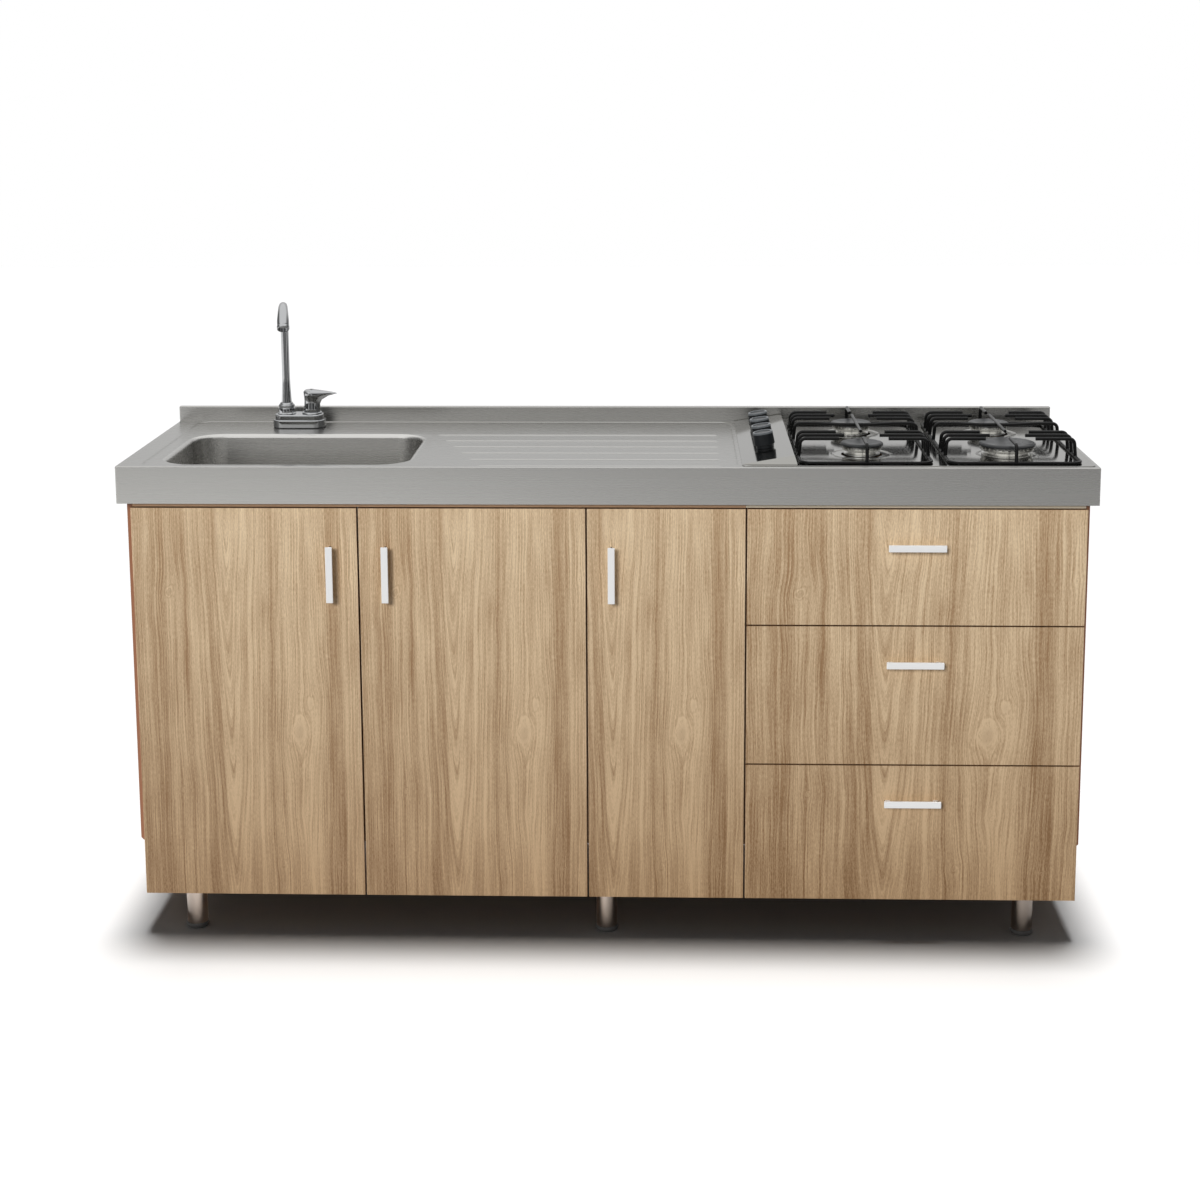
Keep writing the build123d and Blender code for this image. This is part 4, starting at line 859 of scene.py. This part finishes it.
def makeSupport(side, x):
    shape = supportShape
    name = f"pan_support_{side}"
    frameZ = spans(name)[2][0] + shape["frameRadius"]
    fingerZ = deckZ + shape["height"]
    half, riser, corner = shape["half"], shape["riser"], shape["corner"]
    front, back = shape["frame"]
    bend, fingerRadius = shape["bend"], shape["fingerRadius"]
    bm = bmesh.new()
    addBar(bm, [(x + corner + 1, front, frameZ), (x + half, front, frameZ), (x + half, back, frameZ),
                (x - half, back, frameZ), (x - half, front, frameZ), (x + corner + 1, front, frameZ)],
           [corner] * 4, shape["frameRadius"], ring=True)
    for burnerY in burnerRows:
        for row, gap in ((-1, shape["shortGap"]), (0, shape["longGap"]), (1, shape["shortGap"])):
            y = burnerY + row * shape["row"]
            finger = [(half, frameZ), (riser, fingerZ), (gap, fingerZ)]
            for s in (-1, 1):
                addBar(bm, [(x + s * reach, y, z) for reach, z in finger], [bend], fingerRadius)
    for start, end in ((front, burnerRows[0] - shape["longGap"]), (back, burnerRows[1] + shape["longGap"])):
        addBar(bm, [(x, start, frameZ), (x, start, fingerZ), (x, end, fingerZ)], [bend], fingerRadius)
    bar, bowed = shape["crossbar"], shape["crossbar"] - shape["bow"]
    route = [(half, bar, frameZ), (riser, bar, fingerZ), (shape["straight"], bar, fingerZ),
             (shape["flat"], bowed, fingerZ)]
    points = [(x - reach, y, z) for reach, y, z in route] + [(x + reach, y, z) for reach, y, z in route[::-1]]
    addBar(bm, points, [bend] + [shape["bowBend"]] * 4 + [bend], fingerRadius)
    topZ = fingerZ + shape["topLift"]
    addBar(bm, [(x, y, topZ) for y in shape["topBar"]], [], shape["topRadius"])
    finishPiece(f"supportBars_{side}", bm, name, "blackWire", [name], 50)


# Knobs on the console's slope
knobShape = {
    "across": 300,
    "gap": 0.6,
    "foot": 16,
    "footHeight": 6,
    "radius": 20,
    "top": 18.8,
    "height": 31,
}
slope = math.atan2(hobShape["rise"], hobShape["ridge"])


def makeKnobs():
    shape = knobShape
    gap, foot, ledge = shape["gap"], shape["foot"], shape["footHeight"]
    wide, top = shape["radius"], shape["top"]
    high = shape["height"] + gap
    faceZ = hobTop + (shape["across"] - hobX[0]) * math.tan(slope)
    for n in range(4):
        name = f"knob_{n + 1}"
        y = middle(spans(name)[1])
        place = Matrix.Translation((shape["across"], y, faceZ)) @ Matrix.Rotation(-slope, 4, "Y")
        bm = bmesh.new()
        turned(bm, [
            (0, gap), (foot, gap), (foot, ledge), (wide - 0.8, ledge + 0.6), (wide, ledge + 1.6),
            (wide - 0.5, 16), (top, high - 4.6), (top - 0.5, high - 4.2), (top - 0.5, high - 1.0),
            (top - 4, high - 1.6), (0, high - 1.9)], 64, place)
        finishPiece(f"knobBody_{n + 1}", bm, name, "knobPlastic", [name], 40)
        bm = bmesh.new()
        turned(bm, [
            (top - 0.6, high - 4.2), (top + 0.1, high - 4.2), (top + 0.2, high - 1.4),
            (top - 0.6, high - 0.2), (top - 2.0, high), (top - 3.4, high - 0.4),
            (top - 3.6, high - 1.6)], 64, place)
        finishPiece(f"knobRing_{n + 1}", bm, name, "knobRing", [], 40)


makeBurners()
for side, x in burnerColumns.items():
    makeSupport(side, x)
makeKnobs()
print("stage 4: burners, pan supports and knobs made")

# The tap: two-tier base, collars, spout and lever
tapShape = {
    "middle": -638,
    "spread": 26,
    "length": 106,
    "width": 56,
    "corner": 22,
    "lower": 15,
    "upper": 11,
    "inset": 4,
    "lowerEdge": 2.2,
    "upperEdge": 3.2,
    "shank": 9,
    "shankLength": 60,
    "collar": 23.3,
}
spoutShape = {
    "footRadius": 10.5,
    "radius": 8,
    "taper": 50,
    "taperSteps": 5,
    "rise": 143,
    "bend": 60,
    "over": 80,
    "overSteps": 24,
    "down": 62,
    "downSteps": 16,
    "nozzle": 12,
    "nozzleLength": 12,
    "aerator": 12.5,
    "aeratorHeight": 4.6,
    "bore": 4.0,
    "turn": 9.5,
}
tapY = middle(spans("tap_gasket")[1])
tapZ = spans("tap_gasket")[2][1]
spoutX = tapShape["middle"] - tapShape["spread"]
leverX = tapShape["middle"] + tapShape["spread"]


def addBlock(bm, x, y, corner, z, edge, steps=10):
    # a rounded block from z[0] to z[1] with its top edge rounded off
    face = addPlate(bm, x, y, corner, z[0], steps)
    base = bmesh.ops.duplicate(bm, geom=[face])["geom"]
    bmesh.ops.reverse_faces(bm, faces=[g for g in base if isinstance(g, bmesh.types.BMFace)])
    step(bm, face, 0.001, z[1] - z[0] - edge)
    roundStep(bm, face, edge, 1, 4, outward=False)
    return face


def makeTapBody():
    shape = tapShape
    bm = bmesh.new()
    half, deep = shape["length"] / 2, shape["width"] / 2
    tierZ = tapZ + shape["lower"]
    deck = tierZ + shape["upper"]
    x = shape["middle"]
    addBlock(bm, (x - half, x + half), (tapY - deep, tapY + deep), shape["corner"], (tapZ, tierZ),
             shape["lowerEdge"])
    inset = shape["inset"]
    addBlock(bm, (x - half + inset, x + half - inset), (tapY - deep + inset, tapY + deep - inset),
             shape["corner"] - inset, (tierZ - 0.5, deck), shape["upperEdge"])
    turned(bm, [(0, deck - 1), (19.2, deck - 1), (19.2, deck + 1.0), (18.2, deck + 2), (17.5, deck + 2.6),
                (17.3, deck + 10.5), (16.6, deck + 12.4), (15.4, deck + 13), (15.4, deck + 14.5),
                (16.3, deck + 15.6), (16.5, deck + 17.2), (15.6, deck + 18.6), (14.2, deck + 19),
                (13.6, deck + 20.4), (12.8, deck + 22.4), (11.8, deck + 23), (0, deck + 23)], 56,
           Matrix.Translation((spoutX, tapY, 0)))
    turned(bm, [(0, deck - 1), (20.5, deck - 1), (20.5, deck + 1.6), (19.6, deck + 3), (18.2, deck + 3.9),
                (10, deck + 4), (10, deck + 26), (0, deck + 26)], 56, Matrix.Translation((leverX, tapY, 0)))
    shank, end = shape["shank"], tapZ - shape["shankLength"]
    for x in (spoutX, leverX):
        turned(bm, [(0, end), (shank - 0.6, end), (shank, end + 1), (shank, tapZ - 34),
                    (shank + 1.5, tapZ - 34), (shank + 1.5, tapZ), (0, tapZ)], 32,
               Matrix.Translation((x, tapY, 0)))
    finishPiece("tapBase", bm, "cabinet", "chrome", ["tap_body"], 40)


def makeSpout():
    shape = spoutShape
    bm = bmesh.new()
    low = spans("tap_spout")[2][0]
    base = tapZ + tapShape["lower"] + tapShape["upper"] + tapShape["collar"]
    shank = tapShape["shank"]
    turned(bm, [(0, low), (shank - 0.6, low), (shank, low + 0.6), (shank, base - 0.4), (0, base - 0.4)], 32,
           Matrix.Translation((spoutX, tapY, 0)))
    forward = Matrix.Rotation(math.radians(shape["turn"]), 3, "Z") @ Vector((0, -1, 0))
    axis = up.cross(forward)
    bar = Bar(bm, (spoutX, tapY, base), up, shape["footRadius"], 32)
    steps = shape["taperSteps"]
    for _ in range(steps):
        bar.straight(shape["taper"] / steps, (shape["radius"] / shape["footRadius"]) ** (1 / steps))
    for _ in range(2):
        bar.straight((shape["rise"] - shape["taper"]) / 2)
    bar.bend(axis, shape["bend"], math.radians(shape["over"]), shape["overSteps"])
    steps = shape["downSteps"]
    for _ in range(steps):
        bar.bend(axis, shape["bend"], math.radians(shape["down"] / steps), 1)
        bar.straight(0.05, (shape["nozzle"] / shape["radius"]) ** (1 / steps))
    bar.straight(shape["nozzleLength"])
    bar.straight(1.0, 0.93)
    bar.straight(0.8)
    bar.straight(0.6, shape["aerator"] / (shape["nozzle"] * 0.93))
    bar.straight(shape["aeratorHeight"])
    bar.straight(1.0, 0.94)
    bar.straight(0.01, 0.85)
    bar.straight(-shape["bore"])
    bar.close()
    finishPiece("spoutTube", bm, "tap_spout", "chrome", ["tap_spout"], 40)


leverShape = {
    "radius": 17.5,
    "height": 46,
    "reach": 54,
    "collar": 10.3,
    "leanFrom": 6,
    "leanOver": 32,
    "leanPower": 3.2,
    "narrow": 0.62,
    "topFrom": 36,
    "topFall": 0.55,
    "dotRadius": 2.4,
    "dotForward": 4,
}


def makeLever():
    # a column that leans out into a flat-topped beak
    shape = leverShape
    bm = bmesh.new()
    low = spans("tap_lever")[2][0]
    radius, collar = shape["radius"], shape["collar"]
    top = low + shape["height"]
    turned(bm, [(0, low + 24), (collar, low + 24), (collar, low), (radius - 0.8, low), (radius, low + 1.2),
                (radius - 0.4, low + 8), (radius - 1.4, low + 16), (radius - 1.6, low + 24),
                (radius - 0.8, low + 32), (radius - 0.2, low + 38), (radius - 1.4, low + 42),
                (radius - 5, low + 44.6), (0, top - 0.6)], 48, Matrix.Translation((leverX, tapY, 0)))
    bmesh.ops.remove_doubles(bm, verts=bm.verts, dist=0.002)
    reach = shape["reach"] - radius
    for v in bm.verts:
        level = v.co.z - low
        side = (v.co.x - leverX) / radius
        outside = math.hypot(v.co.x - leverX, v.co.y - tapY) > collar + 0.1
        if side > 0 and level > shape["leanFrom"] and outside:
            pull = min(1, (level - shape["leanFrom"]) / shape["leanOver"]) ** shape["leanPower"]
            v.co.x += reach * pull * side ** 1.4
            v.co.y = tapY + (v.co.y - tapY) * (1 - shape["narrow"] * pull * side ** 1.2)
            if level > shape["topFrom"]:
                v.co.z -= (level - shape["topFrom"]) * shape["topFall"] * side
    finishPiece("leverBeak", bm, "tap_lever", "chrome", ["tap_lever"], 50)
    bm = bmesh.new()
    dot = shape["dotRadius"]
    turned(bm, [(0, top - 1.4), (dot, top - 1.4), (dot, top - 0.5), (dot - 0.4, top - 0.3),
                (0, top - 0.3)], 24, Matrix.Translation((leverX, tapY - shape["dotForward"], 0)))
    finishPiece("leverDot", bm, "tap_lever", "rubber")


def makeGasket():
    shape = tapShape
    bm = bmesh.new()
    gasketX, gasketY, gasketZ = spans("tap_gasket")
    addBlock(bm, gasketX, gasketY, shape["corner"] - 1, gasketZ, 0.6)
    finishPiece("tapSeal", bm, "cabinet", "rubber", ["tap_gasket"], 40)


makeTapBody()
makeSpout()
makeLever()
makeGasket()
print("stage 5: tap made")

# Handles, legs and feet
handleShape = {
    "length": 106,
    "width": 13,
    "thickness": 4,
    "leg": 9,
    "legWidth": 4.5,
    "legInset": 4,
    "edge": 1.2,
    "legEdge": 0.8,
    "faceSet": 20,
}


def makeHandle(body):
    shape = handleShape
    name = f"{body}_handle"
    x, y, z = spans(name)
    upright = z[1] - z[0] > x[1] - x[0]
    faceY = worktopY[0] + shape["faceSet"]
    bm = bmesh.new()
    barY = (y[0], y[0] + shape["thickness"])
    addBox(bm, x, barY, z)
    soften(bm, sharpEdges(bm), shape["edge"], 4)
    span = (shape["length"] - shape["leg"]) / 2 - shape["legInset"]
    across, along = (middle(x), middle(z)) if upright else (middle(z), middle(x))
    for s in (-1, 1):
        level = (along + s * span - shape["leg"] / 2, along + s * span + shape["leg"] / 2)
        width = (across - shape["legWidth"] / 2, across + shape["legWidth"] / 2)
        box = bmesh.new()
        if upright:
            addBox(box, width, (barY[1] - 1, faceY), level)
        else:
            addBox(box, level, (barY[1] - 1, faceY), width)
        soften(box, sharpEdges(box, keep=lambda e: abs(e.verts[0].co.y - e.verts[1].co.y) > 5),
               shape["legEdge"], 3)
        post = bpy.data.meshes.new("post")
        box.to_mesh(post)
        box.free()
        bm.from_mesh(post)
        bpy.data.meshes.remove(post)
    finishPiece(f"{body}_grip", bm, body, "handlePaint", [name], 40)


# The board edges seen between the apron and the fronts, coloured paler than their wood as painted light where
# the apron shades them, the left one darker as painted shade
stripShape = {
    "height": (834.5, 843.6),
    "depth": 14,
    "side": 4,
    "edge": 0.8,
}


def makeStrips():
    shape = stripShape
    doorLeft, doorRight = spans("door_left")[0][0], spans("door_right")[0][1]
    drawers = spans("drawer_top_front")[0]
    faceY = spans("door_left")[1][0]
    for name, x, finish in (("doorStrip", (doorLeft + shape["side"], doorRight), "stripPaintedShade"),
                            ("drawerStrip", (doorRight, drawers[1] - shape["side"]), "stripPaintedLight")):
        bm = bmesh.new()
        addBox(bm, x, (faceY + 1, faceY + 1 + shape["depth"]), shape["height"])
        soften(bm, sharpEdges(bm), shape["edge"], 2)
        finishPiece(name, bm, "cabinet", finish)


legShape = {
    "radius": 20,
    "wall": 1.2,
    "foot": 21,
    "plug": 18.6,
    "plugHeight": 12,
}


def makeLegs():
    shape = legShape
    tubes = bmesh.new()
    feet = bmesh.new()
    low, high = spans("leg_tubes")[2]
    floorZ = spans("leg_feet")[2][0]
    left, right = spans("leg_tubes")[0]
    front, back = spans("leg_tubes")[1]
    radius, foot, plug = shape["radius"], shape["foot"], shape["plug"]
    bore = radius - shape["wall"]
    plugTop = low + shape["plugHeight"]
    for x in (left + radius, 0, right - radius):
        for y in (front + radius, back - radius):
            place = Matrix.Translation((x, y, 0))
            turned(tubes, [(bore, high), (radius, high), (radius, low + 0.6), (radius - 0.4, low),
                           (bore, low)], 48, place)
            turned(feet, [
                (0, floorZ), (foot - 3, floorZ), (foot - 0.8, floorZ + 1), (foot, floorZ + 3),
                (foot, low - 1), (foot - 0.6, low), (plug, low), (plug, plugTop), (0, plugTop)], 48, place)
    finishPiece("legTubes", tubes, "cabinet", "legSteel", ["leg_tubes"], 40)
    finishPiece("legFeet", feet, "cabinet", "footPlastic", ["leg_feet"], 40)


for body in ("door_left", "door_middle", "door_right", "drawer_top", "drawer_middle", "drawer_bottom"):
    makeHandle(body)
makeStrips()
makeLegs()
print("stage 6: handles and legs made")

# Finishes of the nodes that keep their own shape
doorShift = {"door_left": 0.0, "door_middle": 0.0, "door_right": 128.5}
drawerLeft, drawerRight = spans("drawer_top_front")[0]
for door, shift in doorShift.items():
    left = spans(door)[0][0]
    finishes[door] = frontFinish(f"woodPrint_{door}", left, 1.0, shift, door)
finishes["drawers"] = frontFinish("woodPrint_drawers", drawerLeft,
                                  woodLook["width"] / (drawerRight - drawerLeft), 0.0, "drawer_top_front")
finishes["boards"] = boardFinish("woodPrint_boards", "side")
finishes["shelves"] = boardFinish("woodPrint_shelves", "flat")
nodeFinishes = {
    "boards": ["side_panel_left", "side_panel_right", "partition_sink", "partition_drawers"],
    "shelves": ["bottom_panel", "top_rails", "shelf"],
    "coreBoard": ["worktop_core"],
    "whiteBoard": ["back_panel", "drawer_top_box", "drawer_middle_box", "drawer_bottom_box"],
    "drawers": ["drawer_top_front", "drawer_middle_front", "drawer_bottom_front"],
    "door_left": ["door_left"],
    "door_middle": ["door_middle"],
    "door_right": ["door_right"],
    "zinc": ["sink_stretcher", "shelf_pins", "leg_plates", "tap_nuts", "hinge_arms", "drawer_runners",
             "door_left_hinge_cups", "door_middle_hinge_cups", "door_right_hinge_cups", "drawer_top_rails",
             "drawer_middle_rails", "drawer_bottom_rails"],
    "bowlSteel": ["drain_flange", "strainer_basket"],
    "aluminium": ["burner_cups"],
    "brass": ["gas_valves"],
    "pipeSteel": ["gas_rail"],
    "trapPlastic": ["waste_trap"],
}
for finish, nodes in nodeFinishes.items():
    for node in nodes:
        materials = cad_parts[node].data.materials
        materials.clear()
        materials.append(finishes[finish])
print("stage 7: finishes given to the frame's own nodes")


# Floor, world and lamps: the floor in metres, the world by direction from -1 to 1, light by strength
studio = {
    "floorSize": 14,
    "floorGain": 0.98,
    "floorPlain": 0.2,
    # painted shadow: how dark, how wide and how deep the floor is darkened under the cabinet
    "contact": 0.85,
    "paintedShadowAcross": (0.75, 1.0),
    "paintedShadowDepth": (0.0, 0.56),
    "frontFall": (-0.35, 0.3),
    "floorShine": 0.92,
    "floorStripes": 0.8,
    "ambient": 0.05,
    "back": 0.71,
    "overhead": 1.25,
    "frontLeft": 1.38,
    "frontRight": 0.68,
    "stripes": ((-0.62, 0.06), (0.14, 0.05), (0.7, 0.05)),
    "belt": 0.88,
    "beltFrom": (5.0, 6.2),
    "beltHeight": 0.12,
    "sideShade": 0.75,
    "ahead": (-0.35, 0.15),
    "overheadFrom": (0.3, 0.75),
    "sideFrom": (0.6, 0.85),
    "sideHeight": (0.35, 0.8),
    "lampDistance": 3,
}
lamps = {
    "topLamp": {"from": (0, 0.06, 1.0), "spread": 10, "strength": 3.25, "onFloor": True},
    "frontLamp": {"from": (-0.3, -0.88, 0.36), "spread": 20, "strength": 2.2, "onFloor": False},
    "leftLamp": {"from": (-1.0, 0.12, 0.2), "spread": 20, "strength": 1.5, "onFloor": False},
    "rightLamp": {"from": (1.0, 0.12, 0.2), "spread": 20, "strength": 1.5, "onFloor": False},
    "backLamp": {"from": (0.1, 1.0, 0.25), "spread": 20, "strength": 2.0, "onFloor": False},
}


def grey(value):
    return (value, value, value, 1)


def lightPaths(shader):
    # 1 where the camera sees a point straight, mirrored in metal, or through something clear
    return [shader.node("ShaderNodeLightPath", {}, {}, f"Is {ray} Ray")
            for ray in ("Camera", "Glossy", "Transmission")]


def stripes(shader, side):
    # narrow bright panels among the dark ones in front of the object
    total = None
    for place, half in studio["stripes"]:
        panel = 1 - shader.between(abs(side - place), half * 0.5, half)
        total = panel if total is None else total + panel
    return total


def makeFloor():
    # white to the camera with a painted shadow under the cabinet, and the studio's tones in what the metal
    # mirrors
    bm = bmesh.new()
    bmesh.ops.create_grid(bm, x_segments=1, y_segments=1, size=studio["floorSize"])
    mesh = bpy.data.meshes.new("floor")
    bm.to_mesh(mesh)
    bm.free()
    floor = bpy.data.objects.new("floor", mesh)
    bpy.context.scene.collection.objects.link(floor)
    paper = Finish("paper", roughness=0.9)
    seen, mirrored, clear = lightPaths(paper)
    x, y = paper.axes()[:2]
    side = x / (x * x + y * y) ** 0.5
    tone = paper.between(side, *studio["frontFall"], studio["frontLeft"], studio["frontRight"])
    far = paper.between(-1 * y, *studio["beltFrom"])
    tone = tone * (1 - far * studio["belt"]) * studio["floorShine"]
    tone = tone + stripes(paper, side) * far * studio["floorStripes"]
    toned = paper.node("ShaderNodeCombineColor", {}, {0: tone, 1: tone, 2: tone})
    unseen = paper.mix(mirrored, grey(studio["floorPlain"]), toned)
    white = seen.sum("MAXIMUM", seen, clear)
    # painted shadow: the floor's white darkened to the camera under the cabinet's footprint
    along = 1 - paper.between(abs(x), *studio["paintedShadowAcross"])
    under = along * (1 - paper.between(abs(y), *studio["paintedShadowDepth"])) * studio["contact"]
    whiteWithPaintedShadow = paper.mix(under, grey(studio["floorGain"]), grey(0))
    paper.feed(baseColor=paper.mix(white, unseen, whiteWithPaintedShadow))
    mesh.materials.append(paper.made)
    return floor


class Sky(Finish):
    # the same shader sums, written into the world
    def __init__(self, world):
        self.tree = world.node_tree
        self.shader = self.tree.nodes["Background"]


def makeWorld():
    # white to the camera, plain and dim as light, and a soft studio in reflections
    world = bpy.data.worlds.new("studio")
    bpy.context.scene.world = world
    world.use_nodes = True
    sky = Sky(world)
    toward = sky.node("ShaderNodeTexCoord", {}, {}, "Generated")
    x, y, z = [sky.node("ShaderNodeSeparateXYZ", {}, {0: toward}, n) for n in range(3)]
    ahead = 1 - sky.between(y, *studio["ahead"])
    front = sky.between(x, *studio["frontFall"], studio["frontLeft"], studio["frontRight"])
    belt = ahead * (1 - sky.between(z, studio["beltHeight"] / 2, studio["beltHeight"])) * studio["belt"]
    level = (studio["back"] + (front - studio["back"]) * ahead) * (1 - belt) + stripes(sky, x) * belt
    level = level + (studio["overhead"] - level) * sky.between(z, *studio["overheadFrom"])
    low = 1 - sky.between(z, *studio["sideHeight"])
    shade = 1 - sky.between(abs(x), *studio["sideFrom"]) * low * studio["sideShade"]
    seen, mirrored, clear = lightPaths(sky)
    white = seen.sum("MAXIMUM", seen, clear)
    other = level * shade * mirrored + (1 - mirrored) * studio["ambient"]
    strength = white + (1 - white) * other
    sky.feed(color=(1, 1, 1, 1), strength=strength)


def makeLamps(floor):
    offFloor = bpy.data.collections.new("offFloor")
    offFloor.objects.link(floor)
    offFloor.collection_objects[0].light_linking.link_state = "EXCLUDE"
    for name, lamp in lamps.items():
        data = bpy.data.lights.new(name, "SUN")
        data.angle = math.radians(lamp["spread"])
        data.energy = lamp["strength"]
        made = bpy.data.objects.new(name, data)
        bpy.context.scene.collection.objects.link(made)
        made.visible_glossy = False
        if not lamp["onFloor"]:
            made.light_linking.receiver_collection = offFloor
        made.location = Vector(lamp["from"]) * studio["lampDistance"]
        made.rotation_euler = Vector(lamp["from"]).to_track_quat("Z", "Y").to_euler()


makeLamps(makeFloor())
makeWorld()
bpy.context.scene.view_settings.view_transform = "Standard"
print("stage 8: floor, lamps and world made")
